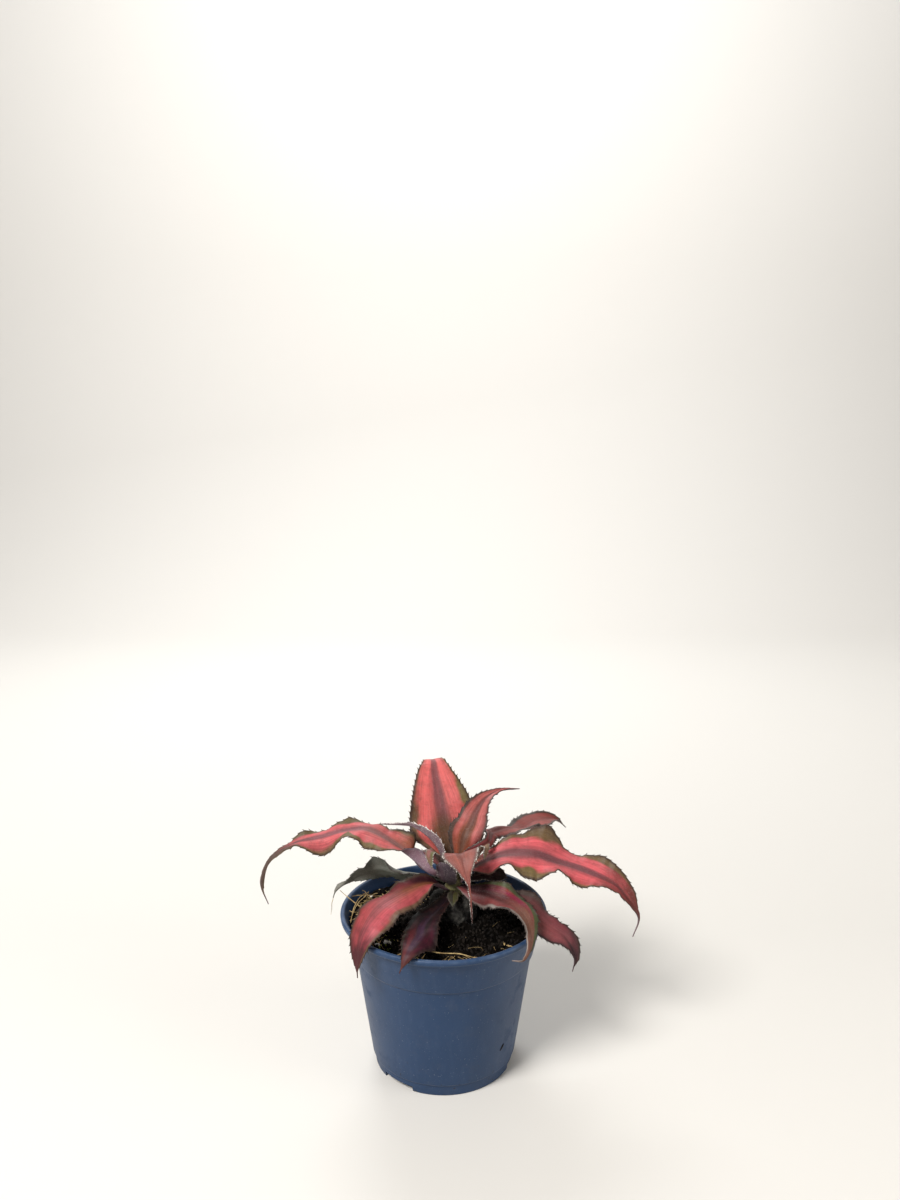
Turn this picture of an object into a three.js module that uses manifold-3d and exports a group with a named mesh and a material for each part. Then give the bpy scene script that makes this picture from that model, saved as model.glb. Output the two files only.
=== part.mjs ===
// Earth star bromeliad (Cryptanthus) in its plastic nursery pot.
// Millimetres, +Z up. The origin is on the pot's axis, on the surface that the pot stands on.
// -Y is the front, and +X is to the right of someone who looks at the front.
import * as THREE from 'three';
import { mergeVertices } from 'three/addons/utils/BufferGeometryUtils.js';
import Module from 'manifold-3d';

const wasm = await Module();
wasm.setup();

const { abs, cos, floor, hypot, max, min, PI, sin } = Math;
const radians = (degrees) => degrees * PI / 180;
const { lerp, smoothstep } = THREE.MathUtils;

// ---- driving dimensions ----
const GAP = 0.3; // between pieces that touch

const RIM_RADIUS = 45;
const POT_HEIGHT = 69;
const STEP_HEIGHT = 52; // the collar's lower edge
const FOOT_HEIGHT = 5;
const FLOOR_UNDER = 4;
const FLOOR_TOP = 5.6;
const WALL = 1.3;
const PAD_RADIUS = 8; // the flat round pad in the middle of the underside
const POT_SIDES = 48;

const NOTCH_AT = [230, 350, 110]; // degrees round the foot
const NOTCH_WIDTH = 31; // degrees
const NOTCH_HEIGHT = 2.3;
const DRAIN_HOLES = 6;
const DRAIN_RADIUS = 3;
const DRAIN_CIRCLE = 18;

const SOIL_TOP = 62;
const SOIL_SIDES = 36;

const PLUG_AT = [4.5, 0]; // x, y of the plug's and the stem's axis
const PLUG_TOP = 76;
const PLUG_RADIUS = 10;
const PLUG_DEPTH = 22; // how far it reaches below the soil's top

const STEM_FOOT = 70;
const STEM_TOP = 90;
const STEM_RADIUS = 4.2; // where it leaves the plug
const STEM_TOP_RADIUS = 2.6;

const BLADE_THICKNESS = 0.8;
const TOOTH_PITCH = 5; // along a leaf's margin
const TOOTH_LENGTH = 0.9;
const TIP_HALF_WIDTH = 0.5;
const COLUMNS = [-1, -0.55, 0, 0.55, 1]; // places across a leaf, from its left margin to its right one

// ---- materials ----
const paint = (color, roughness) =>
  new THREE.MeshStandardMaterial({ color, roughness, metalness: 0, side: THREE.DoubleSide });

const MATERIALS = {
  pot: paint('#47586e', 0.6),
  soil: paint('#241f1b', 0.95),
  plug: paint('#4c463f', 0.95),
  stem: paint('#6f7a4a', 0.7),
  red: paint('#a3404a', 0.5),
  dark: paint('#5d2a38', 0.55),
  green: paint('#5f6a52', 0.6),
};

// ---- solids and meshes ----
function solidOf(geometry) {
  const bare = new THREE.BufferGeometry()
    .setAttribute('position', geometry.getAttribute('position'))
    .setIndex(geometry.index);
  const merged = mergeVertices(bare, 1e-4);
  return new wasm.Manifold(new wasm.Mesh({
    numProp: 3,
    vertProperties: new Float32Array(merged.attributes.position.array),
    triVerts: new Uint32Array(merged.index.array),
  }));
}

function geometryOf(solid) {
  const mesh = solid.getMesh();
  return new THREE.BufferGeometry()
    .setAttribute('position', new THREE.BufferAttribute(new Float32Array(mesh.vertProperties), 3))
    .setIndex(new THREE.BufferAttribute(new Uint32Array(mesh.triVerts), 1));
}

function named(name, geometry, material) {
  const mesh = new THREE.Mesh(geometry, material);
  mesh.name = name;
  return mesh;
}

// A body of revolution round Z from [radius, height] pairs that start at the axis's lower end.
function turned(profile, sides) {
  const points = profile.map(([radius, height]) => new THREE.Vector2(radius, height));
  return new THREE.LatheGeometry(points, sides).rotateX(PI / 2);
}

// ---- pot ----
// The outside, from the foot up to the lip: tapered wall, step, collar, flared lip.
const POT_OUTSIDE = [
  [30.3, 0],
  [30.9, FOOT_HEIGHT],
  [31.6, FOOT_HEIGHT + 0.3],
  [38.5, STEP_HEIGHT - 0.6],
  [39.4, STEP_HEIGHT],
  [42.6, POT_HEIGHT - 3.4],
  [RIM_RADIUS - 0.2, POT_HEIGHT - 2.2],
  [RIM_RADIUS, POT_HEIGHT - 0.6],
  [RIM_RADIUS - 0.5, POT_HEIGHT],
];
const POT_INSIDE = [
  [RIM_RADIUS - 1.8, POT_HEIGHT],
  [RIM_RADIUS - 2.4, POT_HEIGHT - 1.2],
  [41.2, POT_HEIGHT - 4],
  [39.4 - WALL, STEP_HEIGHT],
  [38.5 - WALL, STEP_HEIGHT - 1],
  [30.6, FLOOR_TOP + 1.2],
  [29.4, FLOOR_TOP],
];
const POT_UNDERSIDE = [
  [0, 0],
  [PAD_RADIUS, 0],
  [PAD_RADIUS + 0.8, FLOOR_UNDER],
  [27, FLOOR_UNDER],
  [28, 0],
];

// The pot's inner radius at a height.
function potInside(height) {
  const wall = [...POT_INSIDE].reverse();
  const above = wall.findIndex(([, z]) => z >= height);
  const [[r0, z0], [r1, z1]] = [wall[max(above - 1, 0)], wall[max(above, 1)]];
  return lerp(r0, r1, (height - z0) / (z1 - z0));
}

function boxAt(width, depth, height, x, y, z, turn = 0) {
  return new THREE.BoxGeometry(width, depth, height).translate(x, y, z).rotateZ(radians(turn));
}

function makePot() {
  const profile = [...POT_UNDERSIDE, ...POT_OUTSIDE, ...POT_INSIDE, [0, FLOOR_TOP]];
  let pot = solidOf(turned(profile, POT_SIDES));
  const notchWidth = 2 * 29 * sin(radians(NOTCH_WIDTH / 2));
  for (const angle of NOTCH_AT) {
    pot = pot.subtract(solidOf(boxAt(8, notchWidth, 2 * NOTCH_HEIGHT, 30.5, 0, 0, angle)));
  }
  for (let i = 0; i < DRAIN_HOLES; i += 1) {
    const angle = (i + 0.5) * 2 * PI / DRAIN_HOLES;
    const hole = new THREE.CylinderGeometry(DRAIN_RADIUS, DRAIN_RADIUS, 10, 12).rotateX(PI / 2);
    hole.translate(DRAIN_CIRCLE * cos(angle), DRAIN_CIRCLE * sin(angle), FLOOR_TOP - 1);
    pot = pot.subtract(solidOf(hole));
  }
  return named('pot', geometryOf(pot), MATERIALS.pot);
}

// ---- soil ----
// Lumps of peat, with a mound at the plug and a heap along the wall on the left.
function soilRelief(x, y) {
  const lumps = 0.7 * sin(0.42 * x + 1.3) * sin(0.37 * y + 0.4)
    + 0.5 * sin(0.83 * x - 0.61 * y + 2.1)
    + 0.35 * sin(0.71 * x + 1.17 * y);
  const mound = 4.5 * (1 - smoothstep(hypot(x - PLUG_AT[0], y - PLUG_AT[1]), PLUG_RADIUS, 24));
  return lumps + mound + 3.6 * smoothstep(-x, 16, 34);
}

function makeSoil() {
  const edge = potInside(SOIL_TOP - 1.5) - GAP;
  const rings = [1, 0.93, 0.84, 0.74, 0.63, 0.52, 0.41, 0.3, 0.2, 0.1];
  const lower = [[0, FLOOR_TOP + GAP], [28.8, FLOOR_TOP + GAP]];
  for (const height of [FLOOR_TOP + 2, STEP_HEIGHT - 1.6, STEP_HEIGHT + 0.4, SOIL_TOP - 2]) {
    lower.push([potInside(height) - GAP - 0.1, height]);
  }
  const top = rings.map((share) => [edge * share, SOIL_TOP]);
  const geometry = turned([...lower, ...top, [0, SOIL_TOP]], SOIL_SIDES);
  const position = geometry.getAttribute('position');
  for (let i = 0; i < position.count; i += 1) {
    const [x, y, z] = [position.getX(i), position.getY(i), position.getZ(i)];
    if (z > SOIL_TOP - 0.01) position.setZ(i, z + soilRelief(x, y));
  }
  const hole = new THREE.CylinderGeometry(PLUG_RADIUS + 1, PLUG_RADIUS + 1, 40, 24).rotateX(PI / 2);
  hole.translate(PLUG_AT[0], PLUG_AT[1], SOIL_TOP - PLUG_DEPTH - GAP + 20);
  return named('soil', geometryOf(solidOf(geometry).subtract(solidOf(hole))), MATERIALS.soil);
}

// ---- root plug and stem ----
function makePlug() {
  const foot = SOIL_TOP - PLUG_DEPTH;
  const profile = [
    [0, foot], [7, foot], [8.6, foot + 4], [9.2, SOIL_TOP - 1], [9.4, SOIL_TOP + 4], [9.9, PLUG_TOP - 5],
    [PLUG_RADIUS, PLUG_TOP - 2], [8.6, PLUG_TOP - 0.4], [5.4, PLUG_TOP], [0, PLUG_TOP],
  ];
  const geometry = turned(profile, 20);
  const position = geometry.getAttribute('position');
  for (let i = 0; i < position.count; i += 1) {
    const [x, y, z] = [position.getX(i), position.getY(i), position.getZ(i)];
    const radius = hypot(x, y);
    if (radius < 6) continue;
    const dents = 0.05 * sin(5 * Math.atan2(y, x) + 0.5 * z) + 0.03 * sin(0.9 * z + 2 * x);
    position.setXY(i, x * (1 + dents), y * (1 + dents));
  }
  const hole = new THREE.CylinderGeometry(STEM_RADIUS + GAP, STEM_RADIUS + GAP, 20, 16).rotateX(PI / 2);
  hole.translate(0, 0, STEM_FOOT - GAP + 10);
  const plug = geometryOf(solidOf(geometry).subtract(solidOf(hole)));
  return named('root_plug', plug.translate(PLUG_AT[0], PLUG_AT[1], 0), MATERIALS.plug);
}

// The stem's radius at a height.
const stemRadius = (z) => lerp(STEM_RADIUS, STEM_TOP_RADIUS, smoothstep(z, PLUG_TOP, STEM_TOP));

function makeStem() {
  const profile = [
    [0, STEM_FOOT], [2.6, STEM_FOOT], [STEM_RADIUS - 0.6, STEM_FOOT + 2], [STEM_RADIUS, PLUG_TOP],
    [stemRadius(81), 81], [stemRadius(85), 85], [STEM_TOP_RADIUS, STEM_TOP - 1], [1.4, STEM_TOP],
    [0, STEM_TOP],
  ];
  return named('stem', turned(profile, 12).translate(PLUG_AT[0], PLUG_AT[1], 0), MATERIALS.stem);
}

// ---- leaves ----
// Each leaf leaves the stem at a bearing and a height, and follows its midrib's points. Bearings are in
// degrees, 0 along +X and 90 along +Y.
// heading: the bearing that the blade lies square to.
// half: half of the greatest width, at the share widest of the length. neck: the share of it at the stem.
// taper: how fast it narrows to the tip.
// roll, fold: degrees, at even steps along the leaf. Roll lifts the right margin, and fold lifts both.
// left, right: the places along the margin where it turns, each with how far it stands above the blade.
const LEAVES = [
  {
    name: 'leaf_tall_back', material: 'red', bearing: 114, height: 84, heading: 100,
    midrib: [
      [2, 9.5, 92.5], [0, 17, 100], [-2, 24, 109], [-4, 31, 118], [-5, 38, 122.5], [-7, 44, 120.5],
      [-12, 48, 116],
    ],
    half: 15.4, widest: 0.28, neck: 0.12, taper: 1.5, roll: [0, 0, 0, 0], fold: [10, 0, 5, 8, 20],
    left: [[0.2, 1], [0.35, -1], [0.5, 1.5], [0.62, -1]], right: [[0.2, 1], [0.35, -1], [0.5, 1], [0.6, 0]],
  },
  {
    name: 'leaf_back_right', material: 'red', bearing: 62, height: 87.7, heading: 75,
    midrib: [
      [9, 6, 98.5], [12, 9, 103], [14.5, 13, 107.5], [18.5, 17, 112], [23.5, 22, 113.5],
      [28.5, 27, 113], [35, 33, 111],
    ],
    half: 8, widest: 0.28, neck: 0.25, taper: 3.1, roll: [0, 0, 0, 0], fold: [5, 15, 10, 10],
    left: [[0.2, 1], [0.35, -1.7], [0.5, 1.4], [0.7, 1]],
    right: [[0.2, -3.2], [0.35, 0.5], [0.5, 1.5], [0.7, -0.3]],
  },
  {
    name: 'leaf_right_back', material: 'red', bearing: 20, height: 87, heading: 40,
    midrib: [
      [10, 1.2, 93.5], [15.2, 0.4, 96.6], [19.3, 3.2, 98], [20.5, 13, 97.8], [22.2, 18, 96.2],
      [27.5, 23, 95.6], [33.5, 27, 94], [38, 33, 92], [43.5, 39, 92.5], [50, 44, 91.5], [55, 48, 89],
      [59, 50, 85],
    ],
    half: 8.7, widest: 0.75, neck: 0.13, taper: 2.2, roll: [0, -65, -20, 0, 0, -10], fold: [15, 15, 10, 10],
    left: [[0.25, -0.5], [0.42, -5.5], [0.58, -5.5], [0.68, -0.1], [0.76, -0.6], [0.87, 1.8], [0.94, 1.7]],
    right: [[0.4, -0.6], [0.5, -0.5], [0.61, 3.2], [0.74, -0.7], [0.85, 0.4]],
  },
  {
    name: 'leaf_big_right', material: 'red', bearing: 2, height: 83, heading: 0,
    midrib: [
      [13.5, -1, 88.5], [24.5, 1, 92.5], [37.5, 3, 92.5], [49, 4, 88.5], [61.5, 2, 85], [73, -2, 81],
      [78.5, -4, 76], [83, -6, 70], [84, -7, 66], [81.5, -8, 59.5],
    ],
    half: 12.5, widest: 0.37, neck: 0.5, taper: 1.7,
    roll: [0, -15, -15, -15, -10], fold: [10, 8, 0, 5, 20],
    left: [
      [0.13, -2.2], [0.2, -2.6], [0.27, 0], [0.31, -0.5], [0.4, 7.5], [0.53, -1.5], [0.66, 5],
      [0.8, 3.5], [0.9, 0.3],
    ],
    right: [
      [0.05, 2], [0.12, -3.5], [0.21, 1.5], [0.29, -5], [0.35, -5], [0.46, 5.2], [0.6, -2.2],
      [0.7, 0.5], [0.85, -0.3],
    ],
  },
  {
    name: 'leaf_long_left', material: 'red', bearing: 195, height: 83.5, heading: 178,
    midrib: [
      [-6, -3.5, 87], [-11.5, -2.5, 91.5], [-17.5, -0.5, 95.5], [-32, 6, 102], [-43.5, 8, 101],
      [-52.5, 8, 98.5], [-64.5, 7, 96], [-72.5, 5, 92], [-77, 4, 88], [-79.5, 3, 82.5], [-80, 3, 77],
      [-77, 2, 69.5],
    ],
    half: 7.2, widest: 0.42, neck: 0.42, taper: 3,
    roll: [-20, -55, 0, 20, 20, 20, 20, 20, 20], fold: [10, 30, 10, 10, 5, 6, 8, 14, 20],
    left: [
      [0.1, 0], [0.16, 1.5], [0.22, -1], [0.3, -5], [0.355, -6], [0.455, 2], [0.59, -7], [0.69, 0.3],
      [0.8, -0.6], [0.9, -1.5],
    ],
    right: [
      [0.13, -1], [0.17, 0], [0.21, 7], [0.26, 4.5], [0.32, -0.5], [0.4, -5], [0.46, 0.3], [0.57, -2],
      [0.65, 2], [0.7, -0.5], [0.76, 0.5],
    ],
  },
  {
    name: 'leaf_young_curled', material: 'dark', bearing: 175, height: 87.5, heading: 180,
    midrib: [
      [-1, 0.5, 94], [-4, 1, 99], [-8, 2, 102.5], [-11.5, 3, 104.5], [-15.5, 4, 105.5],
      [-28, 5, 105.5],
    ],
    half: 2.5, widest: 0.35, neck: 0.6, taper: 1.6, roll: [0, -50, -40, -20], fold: [0, 40, 40, 30],
    left: [[0.3, 0.3], [0.6, -0.3]], right: [[0.3, 0.3], [0.6, -0.3]],
  },
  {
    name: 'leaf_heart_cup', material: 'dark', bearing: 218, height: 85.5, heading: 215,
    midrib: [
      [-1.2, -4.5, 92], [-3.6, -6.5, 97], [-5.2, -8.8, 98.3], [-5.2, -10.8, 96], [-4.9, -11.5, 92.6],
    ],
    half: 2.8, widest: 0.65, neck: 0.5, taper: 0.7, roll: [0, 0], fold: [10, 10, 20],
    left: [[0.4, 0.4], [0.7, -0.6]], right: [[0.4, 0.4], [0.7, -0.4]],
  },
  {
    name: 'leaf_front_hanging', material: 'red', bearing: 282, height: 87, heading: 272,
    midrib: [
      [6.2, -7.5, 95.5], [7, -11.5, 99], [7.8, -15, 99], [9.2, -19, 94.5], [10.8, -21.5, 88],
      [11.5, -22.5, 81], [12, -22.8, 73.5],
    ],
    half: 8.2, widest: 0.36, neck: 0.24, taper: 6.3, roll: [0, -6, 0, 0], fold: [10, 16, 15, 30],
    left: [[0.2, -0.3], [0.34, -0.7], [0.5, -0.5]],
    right: [[0.18, 0.5], [0.34, -2.5], [0.5, -0.5], [0.6, 0.3]],
  },
  {
    name: 'leaf_heart_ruffled', material: 'green', bearing: 325, height: 89, heading: 320,
    midrib: [
      [12.5, -3.1, 91.5], [16, -4.9, 97.4], [17.8, -6.7, 100.2], [17.6, -7.8, 97.9], [17.4, -8, 94.7],
    ],
    half: 2.5, widest: 0.62, neck: 0.27, taper: 0.7, roll: [0, 0], fold: [10, 10, 20],
    left: [[0.4, 0.5], [0.7, -0.5]], right: [[0.4, -0.5], [0.7, 0.5]],
  },
  {
    name: 'leaf_front_left', material: 'red', bearing: 222, height: 79, heading: 223,
    midrib: [
      [-4, -6, 82.5], [-9.5, -10, 84], [-18.5, -18, 83.5], [-26, -25, 81.5], [-31, -31, 77],
      [-33.5, -34, 71], [-34.5, -36, 62], [-34.5, -36, 57],
    ],
    half: 9.5, widest: 0.5, neck: 0.28, taper: 1.4, roll: [0, 15, 0, -5], fold: [10, 8, 0, 10],
    left: [[0.15, 1.5], [0.22, -2], [0.31, -3.7], [0.5, -1], [0.6, -3.5], [0.8, -1]],
    right: [[0.15, 2.4], [0.3, -1], [0.4, -7.5], [0.6, -1], [0.8, 1]],
  },
  {
    name: 'leaf_front_small', material: 'dark', bearing: 255, height: 77.5, heading: 250,
    midrib: [
      [-2, -12, 74.5], [-6, -18, 73.5], [-8.5, -24, 73], [-9.5, -31, 72.5], [-11.5, -37, 72.5],
      [-14, -43.5, 71.5], [-17, -47, 65.5],
    ],
    half: 7, widest: 0.55, neck: 0.35, taper: 1.4, roll: [0, 0], fold: [20, 5, 0, 15],
    left: [[0.3, 1], [0.52, 0], [0.61, -4.5], [0.75, -2], [0.9, -1]],
    right: [[0.3, 1], [0.5, -1], [0.7, 0], [0.85, -1]],
  },
  {
    name: 'leaf_left_back', material: 'green', bearing: 162, height: 80.5, heading: 170,
    midrib: [
      [-6, 3, 82], [-12.5, 4, 82], [-19.5, 6, 82], [-28.5, 9, 83], [-37.5, 10, 80], [-45, 8, 75.5],
      [-48, 7, 73], [-49, 6, 70.5],
    ],
    half: 8, widest: 0.5, neck: 0.4, taper: 2.6, roll: [-20, -50, -60, -50, -30], fold: [20, 10, 5, 10],
    left: [[0.2, -3], [0.4, -4.8], [0.55, -0.3], [0.63, -2.8], [0.73, -0.3], [0.8, -0.7], [0.9, 1.5]],
    right: [[0.3, -2], [0.45, 0.6], [0.7, -2], [0.85, -0.2]],
  },
  {
    name: 'leaf_front_right', material: 'red', bearing: 310, height: 80.5, heading: 317,
    midrib: [
      [12, -7.5, 80.5], [19, -10.5, 80.5], [25, -15, 80], [30, -19.5, 79.5], [33.5, -24, 78],
      [35, -28.5, 76], [35.5, -32.5, 72], [34.5, -36, 68.5], [32, -38.5, 66], [27.5, -39.5, 66.5],
    ],
    half: 7.8, widest: 0.42, neck: 0.35, taper: 2.4, roll: [0, -30, -20, 0, 0], fold: [10, 15, 10, 15],
    left: [[0.2, 0], [0.33, 0.8], [0.43, -6.5], [0.52, -5.5], [0.6, -2.5], [0.7, 0]],
    right: [[0.22, -5], [0.36, 1], [0.52, 5], [0.66, 1.5], [0.76, -1], [0.9, -1]],
  },
  {
    name: 'leaf_lower_right', material: 'dark', bearing: 350, height: 77.5, heading: 338,
    midrib: [
      [16, -4, 78], [24, -7.5, 77.5], [31, -11, 76.5], [36.5, -14.5, 75], [40.5, -17.5, 72.7],
      [43.5, -19, 71], [47, -20, 69], [50.5, -20.5, 66.5], [53.5, -21, 62], [55, -21.5, 57],
      [54, -22, 51.5],
    ],
    half: 7.6, widest: 0.5, neck: 0.35, taper: 1.5, roll: [0, -15, -10, -20, -10], fold: [10, 5, 5, 15],
    left: [[0.3, 0], [0.43, 2.5], [0.55, -2], [0.7, -1.3], [0.82, 2], [0.92, 1.2]],
    right: [[0.3, 0], [0.5, 0.5], [0.66, -1.9], [0.8, 0.2]],
  },
  {
    name: 'leaf_small_left', material: 'green', bearing: 250, height: 82, heading: 250,
    midrib: [[1.8, -7.8, 85], [0.6, -10, 90], [-1.2, -11, 95]],
    half: 4.3, widest: 0.55, neck: 0.55, taper: 0.5, roll: [0, 0], fold: [10, 15],
    left: [[0.5, 0.4]], right: [[0.5, -0.4]],
  },
  {
    name: 'leaf_small_front', material: 'green', bearing: 270, height: 78.7, heading: 270,
    midrib: [[4, -9, 79], [4, -12, 78.6], [3.8, -15, 77]],
    half: 2.4, widest: 0.5, neck: 0.6, taper: 0.8, roll: [0, 0], fold: [10, 20],
    left: [[0.5, 0.4]], right: [[0.5, -0.4]],
  },
  {
    name: 'leaf_old_right', material: 'dark', bearing: 350, height: 82, heading: 0,
    midrib: [[13.5, -1.5, 83.5], [18, 0, 84.5], [23, 1, 84], [28, 1.5, 82]],
    half: 3.6, widest: 0.65, neck: 0.3, taper: 0.9, roll: [0, -20, -55, -55], fold: [10, 10],
    left: [[0.4, 0.8], [0.7, -0.6]], right: [[0.4, -0.6], [0.7, 0.6]],
  },
  {
    name: 'leaf_hidden_back', material: 'dark', bearing: 90, height: 79.5, heading: 95,
    midrib: [[4, 10, 83], [3, 19, 84], [2, 29, 83], [1, 38, 79], [0, 46, 73], [-1, 51, 65]],
    half: 8, widest: 0.45, neck: 0.3, taper: 1.6, roll: [0, 0], fold: [10, 8, 5, 15],
    left: [[0.2, 1], [0.35, -1.5], [0.5, 1.5], [0.65, -1], [0.8, 1]],
    right: [[0.25, -1], [0.4, 1.5], [0.55, -1.5], [0.7, 1], [0.85, -0.5]],
  },
  {
    name: 'leaf_hidden_right', material: 'dark', bearing: 50, height: 81.5, heading: 38,
    midrib: [[12, 7.5, 84], [20, 13.5, 84], [28, 20, 82], [35, 28, 79], [40, 34, 74], [43, 38, 67]],
    half: 7.5, widest: 0.45, neck: 0.4, taper: 1.6, roll: [0, 0], fold: [20, 8, 5, 15],
    left: [[0.2, 1], [0.35, -1.5], [0.5, 1.5], [0.65, -1], [0.8, 1]],
    right: [[0.25, -1], [0.4, 1.5], [0.55, -1.5], [0.7, 1], [0.85, -0.5]],
  },
  {
    name: 'leaf_hidden_left', material: 'red', bearing: 120, height: 81, heading: 138,
    midrib: [[-1, 7, 85.5], [-6, 11, 88.5], [-10, 15, 88], [-13, 19, 84]],
    half: 5.5, widest: 0.45, neck: 0.3, taper: 1.6, roll: [0, 0], fold: [10, 15, 5],
    left: [[0.3, 0.8], [0.5, -0.8], [0.7, 0.8]], right: [[0.3, -0.8], [0.5, 0.8], [0.7, -0.8]],
  },
];

// A value from a list whose entries are at even steps along the leaf.
function along(values, t) {
  const place = t * (values.length - 1);
  const i = min(floor(place), values.length - 2);
  return lerp(values[i], values[i + 1], smoothstep(place - i, 0, 1));
}

function halfWidth({ half, widest, neck, taper }, t) {
  if (t < widest) return half * lerp(neck, 1, smoothstep(t, 0, widest));
  const beyond = (t - widest) / (1 - widest);
  return max(TIP_HALF_WIDTH, half * (1 - beyond) ** taper * (1 + taper * beyond));
}

// How far a margin stands above the blade at t, from its [place, height] turns; 0 at both ends of the leaf.
function ripple(turns, t) {
  const all = [[0, 0], ...turns, [1, 0]];
  const i = min(all.findLastIndex(([place]) => place <= t), all.length - 2);
  const [[from, low], [to, high]] = [all[i], all[i + 1]];
  return lerp(low, high, smoothstep(t, from, to));
}

// The share of the fold's height at s: a round channel along the midrib, with straight sides.
const channel = (s) => 1.3 * s * s / (abs(s) + 0.3);

// A point of the blade's middle surface: t from the stem to the tip, s from -1 to 1 across.
function bladePoint(leaf, t, s) {
  const forward = leaf.curve.getTangentAt(t);
  const right = leaf.across.clone().addScaledVector(forward, -leaf.across.dot(forward)).normalize();
  const up = right.clone().cross(forward);
  const roll = radians(along(leaf.roll, t));
  const side = right.clone().multiplyScalar(cos(roll)).addScaledVector(up, sin(roll));
  const face = up.clone().multiplyScalar(cos(roll)).addScaledVector(right, -sin(roll));
  const width = halfWidth(leaf, t);
  const fold = radians(along(leaf.fold, t));
  const wave = min(1, s * s) * ripple(s < 0 ? leaf.left : leaf.right, t);
  return leaf.curve.getPointAt(t)
    .addScaledVector(side, s * width * cos(fold))
    .addScaledVector(face, channel(s) * width * sin(fold) + wave);
}

function bladeNormal(leaf, t, s) {
  const step = 0.01;
  const [t0, t1] = [max(0, t - step), min(1, t + step)];
  const lengthwise = bladePoint(leaf, t1, s).sub(bladePoint(leaf, t0, s));
  const crosswise = bladePoint(leaf, t, min(1, s + 0.1)).sub(bladePoint(leaf, t, max(-1, s - 0.1)));
  return crosswise.cross(lengthwise).normalize();
}

// The rows of a blade: a tooth's hollow and its point in turn, from the stem to the tip.
function bladeRows(length) {
  const teeth = max(3, Math.round(length / TOOTH_PITCH));
  const rows = [];
  for (let i = 0; i < teeth; i += 1) {
    rows.push({ t: i / teeth, tooth: 0 }, { t: (i + 0.7) / teeth, tooth: TOOTH_LENGTH });
  }
  return [...rows, { t: 1, tooth: 0 }];
}

function makeLeaf(entry) {
  const bearing = radians(entry.bearing);
  const reach = stemRadius(entry.height) + GAP + 0.1;
  const foot = new THREE.Vector3(reach * cos(bearing), reach * sin(bearing), entry.height);
  foot.add(new THREE.Vector3(...PLUG_AT, 0));
  const midrib = entry.midrib.map((point) => new THREE.Vector3(...point));
  // A leaf that rises steeply has its face, and not its end, to the stem.
  const rise = (midrib[0].z - foot.z) / midrib[0].distanceTo(foot);
  foot.x += rise * BLADE_THICKNESS / 2 * cos(bearing);
  foot.y += rise * BLADE_THICKNESS / 2 * sin(bearing);
  const heading = radians(entry.heading);
  const leaf = {
    ...entry,
    curve: new THREE.CatmullRomCurve3([foot, ...midrib], false, 'catmullrom', 0.5),
    across: new THREE.Vector3(sin(heading), -cos(heading), 0),
  };
  const rows = bladeRows(leaf.curve.getLength());
  const positions = [];
  for (const { t, tooth } of rows) {
    for (const face of [1, -1]) {
      for (const s of COLUMNS) {
        const reached = abs(s) === 1 ? s * (1 + tooth / halfWidth(leaf, t)) : s;
        const point = bladePoint(leaf, t, reached)
          .addScaledVector(bladeNormal(leaf, t, s), face * BLADE_THICKNESS / 2);
        positions.push(point.x, point.y, point.z);
      }
    }
  }
  const n = COLUMNS.length;
  const at = (row, face, column) => row * 2 * n + (face ? n : 0) + column;
  const faces = [];
  const quad = (a, b, c, d) => faces.push(a, b, c, a, c, d);
  for (let row = 0; row < rows.length - 1; row += 1) {
    for (let column = 0; column < n - 1; column += 1) {
      quad(at(row, 0, column), at(row, 0, column + 1), at(row + 1, 0, column + 1), at(row + 1, 0, column));
      const [a, b] = [at(row, 1, column), at(row, 1, column + 1)];
      const [c, d] = [at(row + 1, 1, column + 1), at(row + 1, 1, column)];
      faces.push(a, c, b, a, d, c);
    }
    quad(at(row, 0, n - 1), at(row, 1, n - 1), at(row + 1, 1, n - 1), at(row + 1, 0, n - 1));
    quad(at(row, 1, 0), at(row, 0, 0), at(row + 1, 0, 0), at(row + 1, 1, 0));
  }
  const last = rows.length - 1;
  for (let column = 0; column < n - 1; column += 1) {
    quad(at(0, 1, column), at(0, 1, column + 1), at(0, 0, column + 1), at(0, 0, column));
    quad(at(last, 0, column), at(last, 0, column + 1), at(last, 1, column + 1), at(last, 1, column));
  }
  const geometry = new THREE.BufferGeometry()
    .setAttribute('position', new THREE.Float32BufferAttribute(positions, 3))
    .setIndex(faces);
  return named(leaf.name, geometry, MATERIALS[leaf.material]);
}

// ---- the whole object ----
const group = new THREE.Group();
group.add(makePot(), makeSoil(), makePlug(), makeStem(), ...LEAVES.map(makeLeaf));

export default group;
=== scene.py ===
# %% [markdown]
# # An earth star bromeliad in its plastic pot
#
# An earth star is a small ground bromeliad. Its leaves stand in a flat star on a very short stem. They
# are stiff, wavy and toothed, pink with a mauve stripe down the middle and an olive margin. This one
# still grows out of the plug that it was raised in, in a blue-grey nursery pot filled with black peat.
#
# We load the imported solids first. They fix where everything is. Each solid is then replaced by a finer
# piece in the same place: smooth walls, thin leaf edges, spines, crumbs and fibres.

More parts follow.
